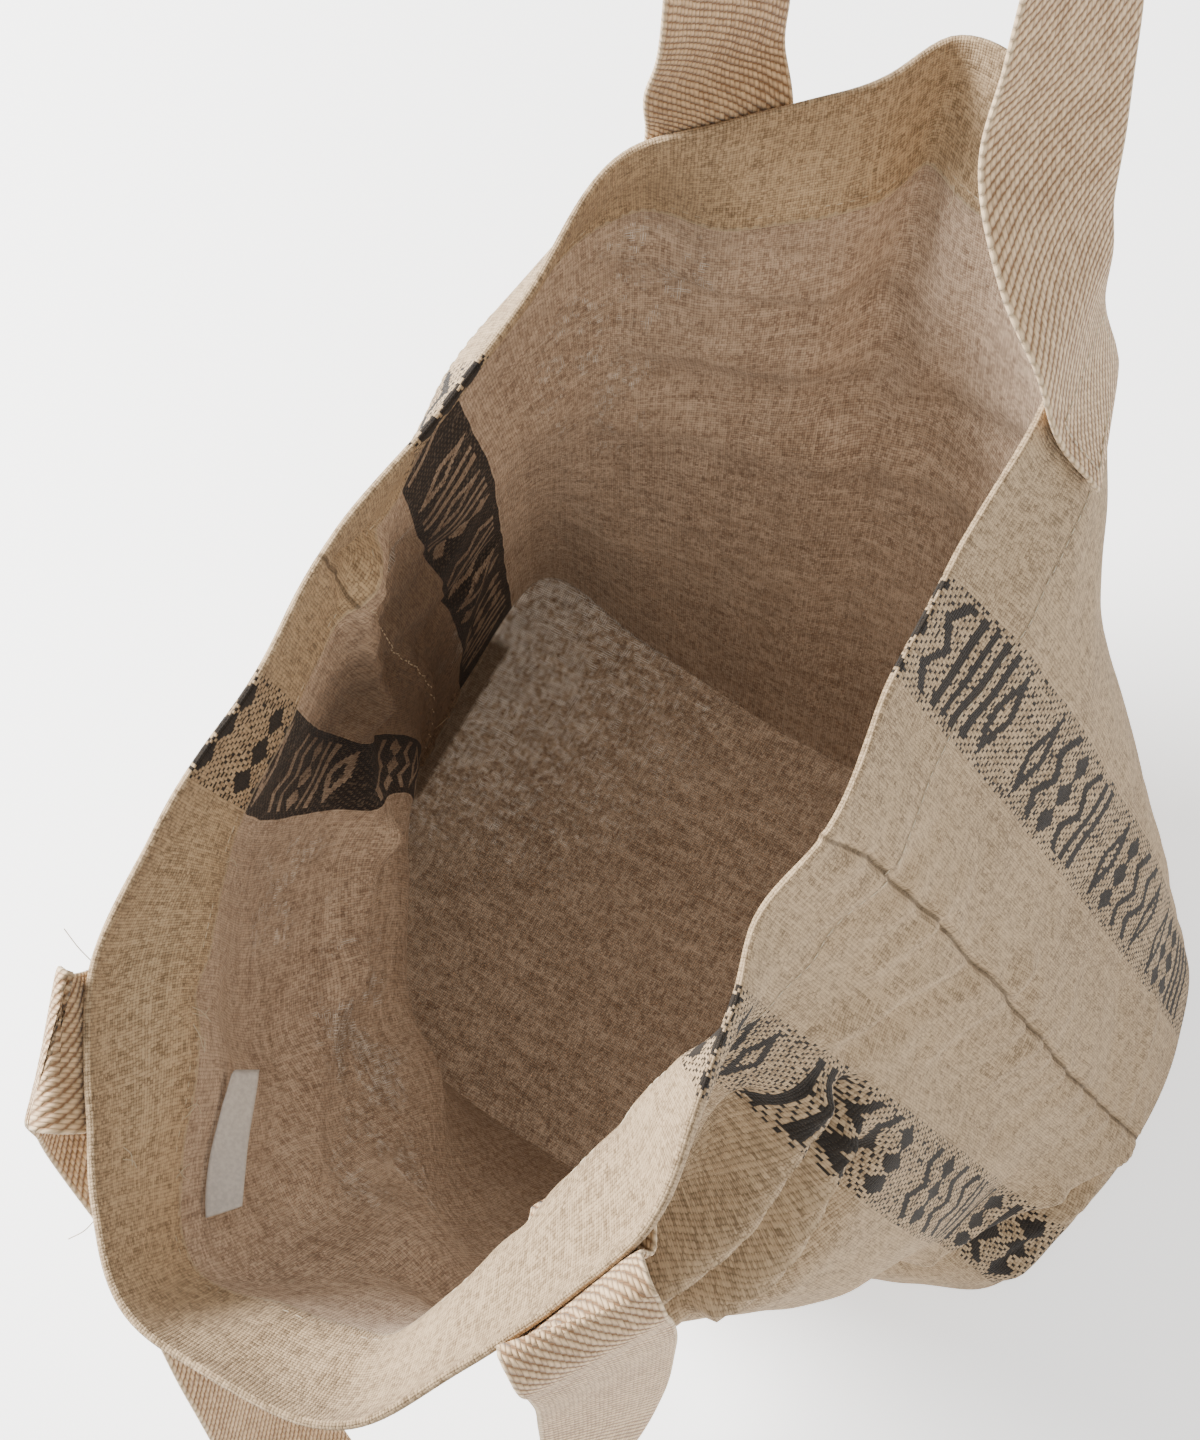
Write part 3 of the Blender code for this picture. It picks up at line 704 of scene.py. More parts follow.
def backlit_side(add, cloth, along, up, slack, daylight):
    """Colour and painted glow of the wrong side, standing in for daylight that comes through the
    thin cloth.

    Little comes through the turning of the cross seam, which lies on the base's left end,
    or through the left gusset, which is folded on itself; both are darkened with painted shade,
    as is the slack weave, which also shows painted daylight.
    """
    colours = bpy.context.scene.tote_finish
    # Painted shade: the cross seam's turning on the base is darkened and shows no painted daylight
    end = add("ShaderNodeMapRange", (along, TURNING_SHADE_ALONG[0], TURNING_SHADE_ALONG[1]), **SMOOTH)
    turning = end * (along > BASE_START) * between(add, up, *TURNING_SHADE_UP, 3 * MM)
    daylight = daylight * (1.0 - turning)
    streaks = add("ShaderNodeCombineXYZ", (along * 60.0, up * 230.0))
    streaks = add("ShaderNodeTexNoise",
                  {"Vector": streaks, "Scale": 1.0, "Detail": 3.0, "Roughness": 0.7}, **FLAT)
    thin = add("ShaderNodeMapRange", (streaks, 0.32, 0.68), **SMOOTH)
    # Painted shade on the left gusset, which is folded on itself: darker colour and no painted glow
    beside = add("ShaderNodeMath", (along, PANEL_WIDTH), operation="PINGPONG")
    painted_gusset_shade = add("ShaderNodeMapRange", (beside, GUSSET_SHADE_ALONG[0], GUSSET_SHADE_ALONG[1]), **SMOOTH)
    painted_gusset_shade = painted_gusset_shade * add("ShaderNodeMapRange", (up, GUSSET_SHADE_UP[0], GUSSET_SHADE_UP[1]), **SMOOTH)
    # Painted shade on the turning, the slack weave and the folded gusset, and painted daylight in the slack
    # weave; the cloth is a little darker where the streaks are thicker
    for share, colour in ((turning * 0.7, colours.shadow), (slack * 0.35, colours.shadow),
                          (daylight * 0.62, colours.daylight), ((1.0 - thin) * 0.12, colours.inside_dark),
                          (painted_gusset_shade * 0.6, colours.shadow)):
        cloth = add("ShaderNodeMix", {0: share, 6: cloth, 7: rgba(colour)}, 2, **COLOUR)
    # Painted glow, standing in for daylight through the cloth: rising from the walls' foot up the walls, its
    # own strength on the base, stronger where streaks are thinner, none on the gusset
    on_wall = up < WALL_END
    climb = add("ShaderNodeMapRange", (up, 0.0, GLOW_REACH), **SMOOTH)
    glow = on_wall * (climb * (GLOW_WALL - GLOW_FOOT) + GLOW_FOOT) + (1.0 - on_wall) * GLOW_BASE
    return cloth, glow * (thin * 0.5 + 0.75) * (1.0 - painted_gusset_shade) + daylight * DAYLIGHT_STRENGTH


def linen_material(name, wrong_side):
    """Unbleached linen: dry matte threads of uneven thickness, with dark woven bands.

    The right side shows dark motifs on a light, dark-flecked ground; the wrong side shows the
    same threads the other way round. The wrong side and the hem facing carry a painted glow, and
    the slack weave painted daylight, for the light behind the cloth; painted shade darkens the
    gaps, the hem's stitch crease and the seam groove, and raised threads are painted lighter.
    """
    colours = bpy.context.scene.tote_finish
    material, shader, add = start_finish(name)
    spot = add("ShaderNodeUVMap", uv_map="cloth")
    along = add("ShaderNodeSeparateXYZ", {"Vector": spot})
    up = along.beside("Y")
    weave = plain_weave(add, spot, along, up)

    # Colour: a little of the whole thread, more of the single crossing, and soft mottling; the
    # weave's relief adds painted shading, raised threads lighter
    tones = []
    for x, y, z in ((weave.warp_number, 1.0, 0.0), (weave.weft_number, 2.0, 0.0),
                    (weave.warp_number, weave.weft_number, 4.0)):
        draw = add("ShaderNodeCombineXYZ", (x, y, z))
        tones.append(add("ShaderNodeTexWhiteNoise", {"Vector": draw}))
    warp_tone, weft_tone, fleck = tones
    mottle = add("ShaderNodeCombineXYZ", (along * 520.0, up * 210.0))
    mottle = add("ShaderNodeTexNoise", {"Vector": mottle, "Scale": 1.0, "Detail": 1.0}, **FLAT) - 0.5
    cloud = add("ShaderNodeTexNoise", {"Vector": spot, "Scale": 16.0}, **FLAT) - 0.5
    thread = warp_tone * weave.warp_on_top + weft_tone * (1.0 - weave.warp_on_top)
    tone = thread * THREAD_TONE + fleck * FLECK_TONE + weave.height * RELIEF_TONE
    tone = tone + mottle * MOTTLE_TONE + cloud * CLOUD_TONE
    lit = add("ShaderNodeMapRange", (tone, TONE_RANGE[0], TONE_RANGE[1]), **SMOOTH)
    dark, light = colours.linen_dark, colours.linen_light
    if wrong_side:
        dark, light = colours.inside_dark, colours.inside_light
    cloth = add("ShaderNodeMix", {0: lit, 6: rgba(dark), 7: rgba(light)}, 2, **COLOUR)

    # Painted shade in the gaps between the threads; on the wrong side, where the weave is slack,
    # painted daylight and a painted glow show through them
    painted_gap_shade = add("ShaderNodeMapRange", (weave.height, 0.36, 0.20), **SMOOTH)
    cloth = add("ShaderNodeMix", {0: painted_gap_shade * 0.5, 6: cloth, 7: rgba(colours.shadow)}, 2, **COLOUR)
    if wrong_side:
        slack = slack_places(add, spot, along, up)
        cloth, glow = backlit_side(add, cloth, along, up, slack, open_lines(add, weave, slack))
    else:
        # Painted glow on the hem facing, standing in for daylight through the cloth
        facing = add("ShaderNodeMapRange", (up, WALL_HEIGHT, WALL_HEIGHT + 8 * MM), **SMOOTH)
        glow = facing * GLOW_HEM * (up < WALL_END)

    # The bands' yarn; the raw edge of the hem's inner layer, a pale frayed line; painted shade in
    # the crease that the hem's stitch line draws in the cloth; and painted shade in the groove of
    # the side seams
    edge_up = 2 * WALL_HEIGHT + math.pi * HEM_THICKNESS / 2 - (WALL_HEIGHT - HEM_DEPTH)
    frayed = up + mottle * (2.5 * MM)
    raw = add("ShaderNodeMapRange", (frayed, edge_up - 1.6 * MM, edge_up - 0.5 * MM), **SMOOTH)
    # Painted shade along the hem's stitch line
    off_line = abs(up - STITCH_UP)
    crease = add("ShaderNodeMapRange", (off_line, 1.4 * MM, 0.3 * MM), **SMOOTH)
    layers = [(band_ink(add, weave, fleck, wrong_side) * 0.95, colours.band_thread),
              (raw * (up < WALL_END) * 0.5, colours.stitch_thread),
              (crease * 0.3, colours.shadow)]
    if not wrong_side:
        # Painted shade in the groove of the side seams, on the right side
        seam = add("ShaderNodeSeparateXYZ", {"Vector": add("ShaderNodeUVMap", uv_map="seam")})
        groove = add("ShaderNodeMapRange", (abs(seam), 1.0 * MM, 0.3 * MM), **SMOOTH)
        layers.append((groove * 0.6, colours.shadow))
    for share, colour in layers:
        cloth = add("ShaderNodeMix", {0: share, 6: cloth, 7: rgba(colour)}, 2, **COLOUR)
    material.node_tree.links.new(cloth.socket, shader.inputs["Base Color"])
    # The painted glow takes the cloth's own colour
    material.node_tree.links.new(cloth.socket, shader.inputs["Emission Color"])
    material.node_tree.links.new(glow.socket, shader.inputs["Emission Strength"])
    shader.inputs["Roughness"].default_value = 0.92
    shader.inputs["IOR"].default_value = 1.45
    shader.inputs["Specular IOR Level"].default_value = 0.25
    shader.inputs["Sheen Weight"].default_value = 0.06
    shader.inputs["Sheen Roughness"].default_value = 0.6

    # Relief: the weave itself over the small crumples that linen keeps
    crumple = add("ShaderNodeTexNoise", {"Vector": spot, "Scale": 34.0, "Roughness": 0.6}, **FLAT)
    soft = add("ShaderNodeBump", {"Height": crumple, "Strength": 0.6, "Distance": 4.0 * MM})
    bump = add("ShaderNodeBump",
               {"Height": weave.relief, "Strength": 0.7, "Distance": 0.4 * MM, "Normal": soft})
    material.node_tree.links.new(bump.socket, shader.inputs["Normal"])
    material.diffuse_color = rgba(light)
    material.cycles.emission_sampling = "NONE"
    return material


def webbing_material(name):
    """Jute and cotton webbing: thick glossy warp floats in a twill with a raised edge."""
    colours = bpy.context.scene.tote_finish
    material, shader, add = start_finish(name)
    spot = add("ShaderNodeUVMap", uv_map="webbing")
    x = add("ShaderNodeSeparateXYZ", {"Vector": spot})
    y = x.beside("Y")
    sway = (add("ShaderNodeTexNoise", {"Vector": spot, "Scale": 140.0}, **FLAT) - 0.5) * 0.45
    column = x / FLOAT_PITCH + sway
    number = math.floor(column)
    climb = number * ((1 - RIB_SHARE) * TWILL_STEP) + column * (RIB_SHARE * TWILL_STEP)
    run = y / FLOAT_LENGTH + climb + sway * 0.5
    hill = largest(add("ShaderNodeMath", [run % 1.0 * (math.pi / FLOAT_SHARE)], operation="SINE"), 0.0)
    across = abs(add("ShaderNodeMath", [column * math.pi], operation="SINE"))
    height = (across ** 0.7 * 0.45 + 0.55) * hill ** 0.55
    draw = add("ShaderNodeCombineXYZ", (number, math.floor(run)))
    hair = add("ShaderNodeCombineXYZ", (x * 2600.0, y * 420.0))
    hair = add("ShaderNodeTexNoise", {"Vector": hair, "Scale": 1.0}, **FLAT) - 0.5
    cloud = add("ShaderNodeTexNoise", {"Vector": spot, "Scale": 30.0, "Detail": 3.0}, **FLAT) - 0.5
    # The floats' relief adds painted shading: raised floats lighter, low places darker
    tone = add("ShaderNodeTexWhiteNoise", {"Vector": draw}) * 0.24 + height * 0.62 + hair * 0.5 + cloud * 0.25
    lit = add("ShaderNodeMapRange", (tone, 0.05, 0.85), **SMOOTH)
    dark, light = rgba(colours.webbing_dark), rgba(colours.webbing_light)
    colour = add("ShaderNodeMix", {0: lit, 6: dark, 7: light}, 2, **COLOUR)
    off_middle = abs(x)
    edge = add("ShaderNodeMapRange", (off_middle, SELVEDGE_EDGE[0], SELVEDGE_EDGE[1]), **SMOOTH)
    colour = add("ShaderNodeMix", {0: edge * 0.4, 6: colour, 7: rgba(colours.selvedge)}, 2, **COLOUR)
    bump = add("ShaderNodeBump", {"Height": height, "Strength": 0.9, "Distance": 0.9 * MM})
    material.node_tree.links.new(colour.socket, shader.inputs["Base Color"])
    material.node_tree.links.new(bump.socket, shader.inputs["Normal"])
    shader.inputs["Roughness"].default_value = 0.78
    shader.inputs["IOR"].default_value = 1.5
    shader.inputs["Specular IOR Level"].default_value = 0.35
    shader.inputs["Sheen Weight"].default_value = 0.15
    shader.inputs["Sheen Roughness"].default_value = 0.5
    return material


def plain_material(name, colour, roughness, bump_scale=0.0, sheen=0.0):
    """A thread, label or floor finish, with a fine uneven surface where it has a bump scale."""
    material, shader, add = start_finish(name)
    if bump_scale:
        spot = add("ShaderNodeTexCoord", output="Object")
        tone = add("ShaderNodeTexNoise", {"Vector": spot, "Scale": 900.0})
        share = add("ShaderNodeMapRange", (tone, 0.25, 0.75), **SMOOTH)
        darker = rgba([part * 0.82 for part in colour])
        mixed = add("ShaderNodeMix", {0: share, 6: darker, 7: rgba(colour)}, 2, **COLOUR)
        bump = add("ShaderNodeBump", {"Height": tone, "Strength": 0.5, "Distance": bump_scale})
        material.node_tree.links.new(mixed.socket, shader.inputs["Base Color"])
        material.node_tree.links.new(bump.socket, shader.inputs["Normal"])
    else:
        shader.inputs["Base Color"].default_value = rgba(colour)
    shader.inputs["Roughness"].default_value = roughness
    shader.inputs["Sheen Weight"].default_value = sheen
    return material


# Facets of the finished cloth, closer together beside the side seams
SEAM_REACH = 12 * MM
SEAM_COLUMNS = 24
WALL_COLUMNS = 158
LOW_REACH = 68 * MM
LOW_ROW_STEP = 2.1 * MM
ROW_STEP = 3.2 * MM
HEM_ROW_STEP = 2.5 * MM
LINEN_THICKNESS = 1.1 * MM
HEM_THICKNESS = 2.3 * MM
RIM_TURNS = (35, 90, 145)
BASE_SHARES = (0.985, 0.94, 0.86, 0.74, 0.6, 0.45, 0.3, 0.15)

# Turnings inside: those of the side seams lie to one side of the seam, and those of the
# cross seams lie on the foot of the wall
SEAM_TURNING_AT = 5 * MM
SEAM_TURNING_HALF = 6.5 * MM
SEAM_TURNING_LIFT = 1.0 * MM
TURNING_WIDTH = 11 * MM
TURNING_REACH = 27 * MM
TURNING_LIFT = 2.4 * MM


def cloth_columns():
    """Places along the rim where the columns of facets meet."""
    places = []
    for seam in (0.0, PANEL_WIDTH):
        places.append(seam + np.linspace(-SEAM_REACH, SEAM_REACH, SEAM_COLUMNS, endpoint=False))
        places.append(seam + np.linspace(SEAM_REACH, PANEL_WIDTH - SEAM_REACH, WALL_COLUMNS, endpoint=False))
    return np.sort(np.mod(np.concatenate(places), GIRTH))


def build_cloth_grid():
    """Rings of points that go up the outside, over the rim, down the inside and across the base.

    Returns the rings, their cloth coordinates and which side of the cloth each ring of
    faces shows.
    """
    along = cloth_columns()
    count = len(along)
    hem_line = WALL_HEIGHT - HEM_DEPTH
    low = np.linspace(0, LOW_REACH, round(LOW_REACH / LOW_ROW_STEP), endpoint=False)
    high = np.linspace(LOW_REACH, hem_line - 1.5 * MM, round((hem_line - LOW_REACH) / ROW_STEP))
    lower = np.concatenate([low, high])
    upper = np.linspace(hem_line, WALL_HEIGHT, round(HEM_DEPTH / HEM_ROW_STEP) + 1)
    rows = np.concatenate([lower, upper])
    rings = []

    def ring(points, up, side):
        rings.append((points, up, side))

    foot = cloth_point(along, np.zeros(count))
    centre = np.array([foot[:, 0].mean(), foot[:, 1].mean(), 0.0])
    for share in BASE_SHARES[::-1]:
        ring(centre + (foot - centre) * share, None, "base out")
    for up in rows:
        level = np.full(count, up)
        ring(cloth_point(along, level), level, "out")
    level = np.full(count, WALL_HEIGHT)
    normal = cloth_normal(along, level)
    rim = cloth_point(along, level)
    rise = rim - cloth_point(along, level - 3 * MM)
    rise = rise / np.linalg.norm(rise, axis=1, keepdims=True)
    half = HEM_THICKNESS / 2
    for turn in RIM_TURNS:
        angle = math.radians(turn)
        points = rim - normal * half * (1 - math.cos(angle)) + rise * half * math.sin(angle)
        ring(points, level + half * angle, "out")
    # The cloth runs on over the rim and down the inside, and so does its weave
    folded = 2 * WALL_HEIGHT + math.pi * half
    for up in upper[::-1]:
        level = np.full(count, up)
        to_edge = np.exp(-(up - hem_line) / (5 * MM))
        lift = to_edge * 0.6 * MM * (1 + ripple(along, level, 30 * MM, 300 * MM, 21))
        depth = (HEM_THICKNESS + lift)[:, None]
        ring(cloth_point(along, level) - cloth_normal(along, level) * depth, folded - level, "out")
    for up in lower[::-1]:
        level = np.full(count, up)
        depth = LINEN_THICKNESS + seam_allowance(along, level)
        inner = cloth_point(along, level) - cloth_normal(along, level) * depth[:, None]
        inner[:, 2] = np.maximum(inner[:, 2], LINEN_THICKNESS)
        ring(inner, level, "in")
    inner_foot = rings[-1][0]
    centre = centre + np.array([0, 0, LINEN_THICKNESS])
    for share in BASE_SHARES:
        points = centre + (inner_foot - centre) * share
        points[:, 2] = LINEN_THICKNESS
        ring(points, None, "base in")
    return along, rings


def seam_allowance(along, up):
    """Extra depth where the turnings of the side seams and the cross seams lie inside."""
    total = np.zeros(np.shape(along))
    for seam in (0.0, PANEL_WIDTH):
        aside = around(along, seam + SEAM_TURNING_AT)
        total = total + SEAM_TURNING_LIFT * np.clip((SEAM_TURNING_HALF - np.abs(aside)) / (2 * MM), 0, 1)
        aside = around(along, seam + 0.35 * TURNING_REACH)
        within = np.clip((TURNING_REACH - np.abs(aside)) / (3 * MM), 0, 1)
        within = within * np.clip((TURNING_WIDTH - up) / (2 * MM), 0, 1) * np.clip(up / (6 * MM), 0, 1)
        total = total + TURNING_LIFT * within
    return total


def build_body():
    """The linen as one closed thin sheet, with its cloth coordinates as a UV map."""
    along, rings = build_cloth_grid()
    count = len(along)
    bm = bmesh.new()
    uv_layer = bm.loops.layers.uv.new("cloth")
    seam_layer = bm.loops.layers.uv.new("seam")
    nearest = np.where(np.abs(around(along, 0.0)) < PANEL_WIDTH / 2, 0.0, PANEL_WIDTH)
    asides = [None if level is None else around(along, seam_line(level, nearest)) for _, level, _ in rings]
    verts = [[bm.verts.new(point) for point in points] for points, _, _ in rings]
    for index in range(len(rings) - 1):
        side = rings[index + 1][2] if rings[index + 1][2] != "base in" else "in"
        if rings[index][2] == "base out":
            side = "base out"
        for column in range(count):
            following = (column + 1) % count
            corners = ((index, column), (index, following), (index + 1, following), (index + 1, column))
            face = bm.faces.new([verts[row][place] for row, place in corners])
            face.smooth = True
            face.material_index = 1 if side == "in" else 0
            for loop, (row, place) in zip(face.loops, corners):
                level = rings[row][1]
                flat = level is None or (rings[index][1] is None or rings[index + 1][1] is None)
                if flat:
                    loop[uv_layer].uv = (BASE_UV_SHIFT + loop.vert.co.x, BASE_UV_RISE + loop.vert.co.y)
                    loop[seam_layer].uv = (1.0, 0.0)
                else:
                    turn = GIRTH if place == 0 and column == count - 1 else 0.0
                    loop[uv_layer].uv = (along[place] + turn, level[place])
                    loop[seam_layer].uv = (asides[row][place], level[place])
    for ring, material in ((verts[0], 0), (verts[-1], 1)):
        face = bm.faces.new(ring)
        face.material_index = material
        for loop in face.loops:
            loop[uv_layer].uv = (BASE_UV_SHIFT + loop.vert.co.x, BASE_UV_RISE + loop.vert.co.y)
            loop[seam_layer].uv = (1.0, 0.0)
    bmesh.ops.recalc_face_normals(bm, faces=bm.faces)
    return finish_mesh(bm, "linen_body", [linen_material("Unbleached linen, right side", False),
                                          linen_material("Unbleached linen, wrong side", True)])


def finish_mesh(bm, name, materials):
    """Turn a bmesh into a linked object."""
    mesh = bpy.data.meshes.new(name)
    bm.to_mesh(mesh)
    bm.free()
    for material in materials:
        mesh.materials.append(material)
    obj = bpy.data.objects.new(name, mesh)
    bpy.context.scene.collection.objects.link(obj)
    return obj


# Facets of the straps
STRAP_RING = 28
STRAP_STEP = 2.5 * MM


def strap_path(ends, points):
    """Middles, directions across and directions out of one strap, from cut end to cut end."""
    middles = []
    acrosses = []

    def sewn(middle, sign, levels):
        for up in levels:
            along = middle + np.array([-0.5, 0.0, 0.5]) * STRAP_WIDTH * sign
            level = np.full(3, up)
            line = cloth_point(along, level, False) + cloth_normal(along, level, False) * SEAT_GAP
            middles.append(line[1])
            acrosses.append((line[2] - line[0]) / np.linalg.norm(line[2] - line[0]))

    levels = np.linspace(WALL_HEIGHT - SEWN_LENGTH, WALL_HEIGHT, 5)
    sewn(ends[0], 1, levels)
    for point in points:
        across = np.array([point.across_x, point.across_y, point.across_z])
        middles.append(np.array([point.x, point.y, point.z]) * MM)
        acrosses.append(across / np.linalg.norm(across))
    sewn(ends[1], -1, levels[::-1])
    middles = np.array(middles)
    acrosses = np.array(acrosses)
    places = np.concatenate([[0.0], np.cumsum(np.linalg.norm(np.diff(middles, axis=0), axis=1))])
    at = np.linspace(0, places[-1], math.ceil(places[-1] / STRAP_STEP) + 1)
    middle = smooth_curve(places, middles, at)
    across = smooth_curve(places, acrosses, at)
    run = np.gradient(middle, at, axis=0)
    run = run / np.linalg.norm(run, axis=1, keepdims=True)
    across = across - run * np.sum(across * run, axis=1, keepdims=True)
    across = across / np.linalg.norm(across, axis=1, keepdims=True)
    return at, middle, across, np.cross(run, across)


def build_strap(name, ends, points, material):
    """Webbing with rounded edges along its path, its length and width as a UV map."""
    at, middle, across, out = strap_path(ends, points)
    turns = np.linspace(0, 2 * math.pi, STRAP_RING, endpoint=False) + math.pi / STRAP_RING
    width = np.sign(np.cos(turns)) * np.abs(np.cos(turns)) ** 0.30 * STRAP_WIDTH / 2
    depth = np.sign(np.sin(turns)) * np.abs(np.sin(turns)) ** 0.55 * STRAP_THICKNESS / 2
    bm = bmesh.new()
    uv_layer = bm.loops.layers.uv.new("webbing")
    rings = []
    for index in range(len(at)):
        wave = 0.35 * MM * math.sin(at[index] / (19 * MM)) * np.sin(width / (9 * MM))
        points_here = (middle[index] + np.outer(width, across[index])
                       + np.outer(depth + STRAP_THICKNESS / 2 + wave * (width != 0), out[index]))
        rings.append([bm.verts.new(point) for point in points_here])
    for index in range(len(at) - 1):
        for spot in range(STRAP_RING):
            following = (spot + 1) % STRAP_RING
            corners = ((index, spot), (index, following), (index + 1, following), (index + 1, spot))
            face = bm.faces.new([rings[row][place] for row, place in corners])
            face.smooth = True
            for loop, (row, place) in zip(face.loops, corners):
                loop[uv_layer].uv = (width[place], at[row])
    for index, ring in ((0, rings[0]), (len(at) - 1, rings[-1])):
        face = bm.faces.new(ring)
        for loop, spot in zip(face.loops, range(STRAP_RING)):
            loop[uv_layer].uv = (width[spot], at[index] + depth[spot])
    bmesh.ops.recalc_face_normals(bm, faces=bm.faces)
    return finish_mesh(bm, name, [material])


# The blank label: one long edge is sewn to the wall under the hem and the other leans
# off it towards the middle of the bag
LABEL_ALONG = 752 * MM
LABEL_UP = 264 * MM
LABEL_CLIMB = 0.30
LABEL_THICKNESS = 0.5 * MM
LABEL_CELLS = (24, 12)
LABEL_DROP = 0.45
LABEL_LEAN = 8.0 * MM


def build_label(material):
    """A blank satin label that curls away from the wall, with one corner turned over."""
    bm = bmesh.new()
    rows = []
    for step in range(LABEL_CELLS[1] + 1):
        share = step / LABEL_CELLS[1]
        row = []
        for place in range(LABEL_CELLS[0] + 1):
            run = place / LABEL_CELLS[0]
            corner = max(0.0, run - share - 0.78) * 3.0
            across = (run - 0.5) * LABEL_LENGTH
            along = np.array([LABEL_ALONG + across - corner * 2 * MM])
            up = np.array([LABEL_UP - across * LABEL_CLIMB - share * LABEL_DROP * LABEL_WIDTH])
            lift = LABEL_LEAN * share + corner * 2.0 * MM
            lift = lift + 0.7 * MM * math.sin(run * 5.0 + 0.6) * share
            depth = LINEN_THICKNESS + SEAT_GAP + 0.9 * MM + lift
            row.append(bm.verts.new((cloth_point(along, up) - cloth_normal(along, up) * depth)[0]))
        rows.append(row)
    for near, far in zip(rows[:-1], rows[1:]):
        for index in range(LABEL_CELLS[0]):
            bm.faces.new((near[index], near[index + 1], far[index + 1], far[index])).smooth = True
    label = finish_mesh(bm, "care_label_cloth", [material])
    wall = label.modifiers.new("thickness", "SOLIDIFY")
    wall.thickness = LABEL_THICKNESS
    wall.offset = 0.0
    return label


# Stitching: how far off the cloth a thread's middle lies, and the boxes on the strap ends
STITCH_SEAT = 0.05 * MM
BOX_INSET = 4 * MM
BOX_TOP_INSET = 5 * MM
BOX_STITCH_STEP = 3.4 * MM

# Where each row runs on the cloth, in millimetres, and which face it is on
StitchRow = namedtuple("StitchRow", "name from_along from_up to_along to_up face length gap wander")
STITCH_ROWS = (
    StitchRow("hem, outside", 0, 289, 920, 289, "out", 2.6, 1.0, 0.35),
    StitchRow("hem, inside", 0, 289, 920, 289, "hem", 2.6, 1.0, 0.35),
    StitchRow("left seam turning", 4, 18, 4, 280, "in", 2.4, 1.4, 0.5),
    StitchRow("right seam turning", 464, 12, 464, 280, "in", 2.4, 1.4, 0.5),
)


def stitch_places(row):
    """Centres, directions and outward directions of one row of stitches."""
    from_along, to_along = row.from_along * MM, row.to_along * MM
    from_up, to_up = row.from_up * MM, row.to_up * MM
    length = math.hypot(to_along - from_along, to_up - from_up)
    count = max(1, round(length / ((row.length + row.gap) * MM)))
    share = (np.arange(count) + 0.5) / count
    along = from_along + (to_along - from_along) * share
    up = from_up + (to_up - from_up) * share
    sideways = row.wander * MM * ripple(along + up, up * 0, 18 * MM, 100 * MM, 31)
    if to_up == from_up:
        up = up + sideways
    else:
        along = along + sideways
    return face_places(along, up, row.face, (to_along - from_along, to_up - from_up))


def face_places(along, up, face, run):
    """Points on one face of the cloth, with the directions along a run and off the face."""
    def place(along, up):
        normal = cloth_normal(along, up)
        if face == "out":
            return cloth_point(along, up) + normal * STITCH_SEAT, normal
        depth = np.full(np.shape(along), HEM_THICKNESS)
        if face == "in":
            depth = LINEN_THICKNESS + seam_allowance(along, up)
        return cloth_point(along, up) - normal * (depth + STITCH_SEAT)[..., None], -normal

    size = math.hypot(*run)
    step = 1.5 * MM
    point, off = place(along, up)
    ahead, _ = place(along + run[0] / size * step, up + run[1] / size * step)
    direction = ahead - point
    return point, direction / np.linalg.norm(direction, axis=-1, keepdims=True), off


def strap_stitch_places(ends, points):
    """Stitches of the two boxes that hold each strap's ends, on the webbing's outer face."""
    at, middle, across, out = strap_path(ends, points)
    centres, runs, offs = [], [], []
    half = STRAP_WIDTH / 2 - BOX_INSET
    first, last = BOX_INSET, SEWN_LENGTH - BOX_TOP_INSET
    corners = ((-half, first), (half, first), (half, last), (-half, last), (-half, first))
    for flip in (False, True):
        for (x0, y0), (x1, y1) in zip(corners[:-1], corners[1:]):
            length = math.hypot(x1 - x0, y1 - y0)
            count = round(length / BOX_STITCH_STEP)
            for index in range(count):
                share = (index + 0.5) / count
                x = x0 + (x1 - x0) * share
                y = y0 + (y1 - y0) * share
                place = at[-1] - y if flip else y
                spot, side, off = (np.array([np.interp(place, at, column) for column in values.T])
                                   for values in (middle, across, out))
                ahead = np.cross(off, side)
                run = side * (x1 - x0) + ahead * (y1 - y0) * (1 if not flip else -1)
                centres.append(spot + side * x + off * (STRAP_THICKNESS + 0.02 * MM))
                runs.append(run / np.linalg.norm(run))
                offs.append(off)
    return np.array(centres), np.array(runs), np.array(offs)


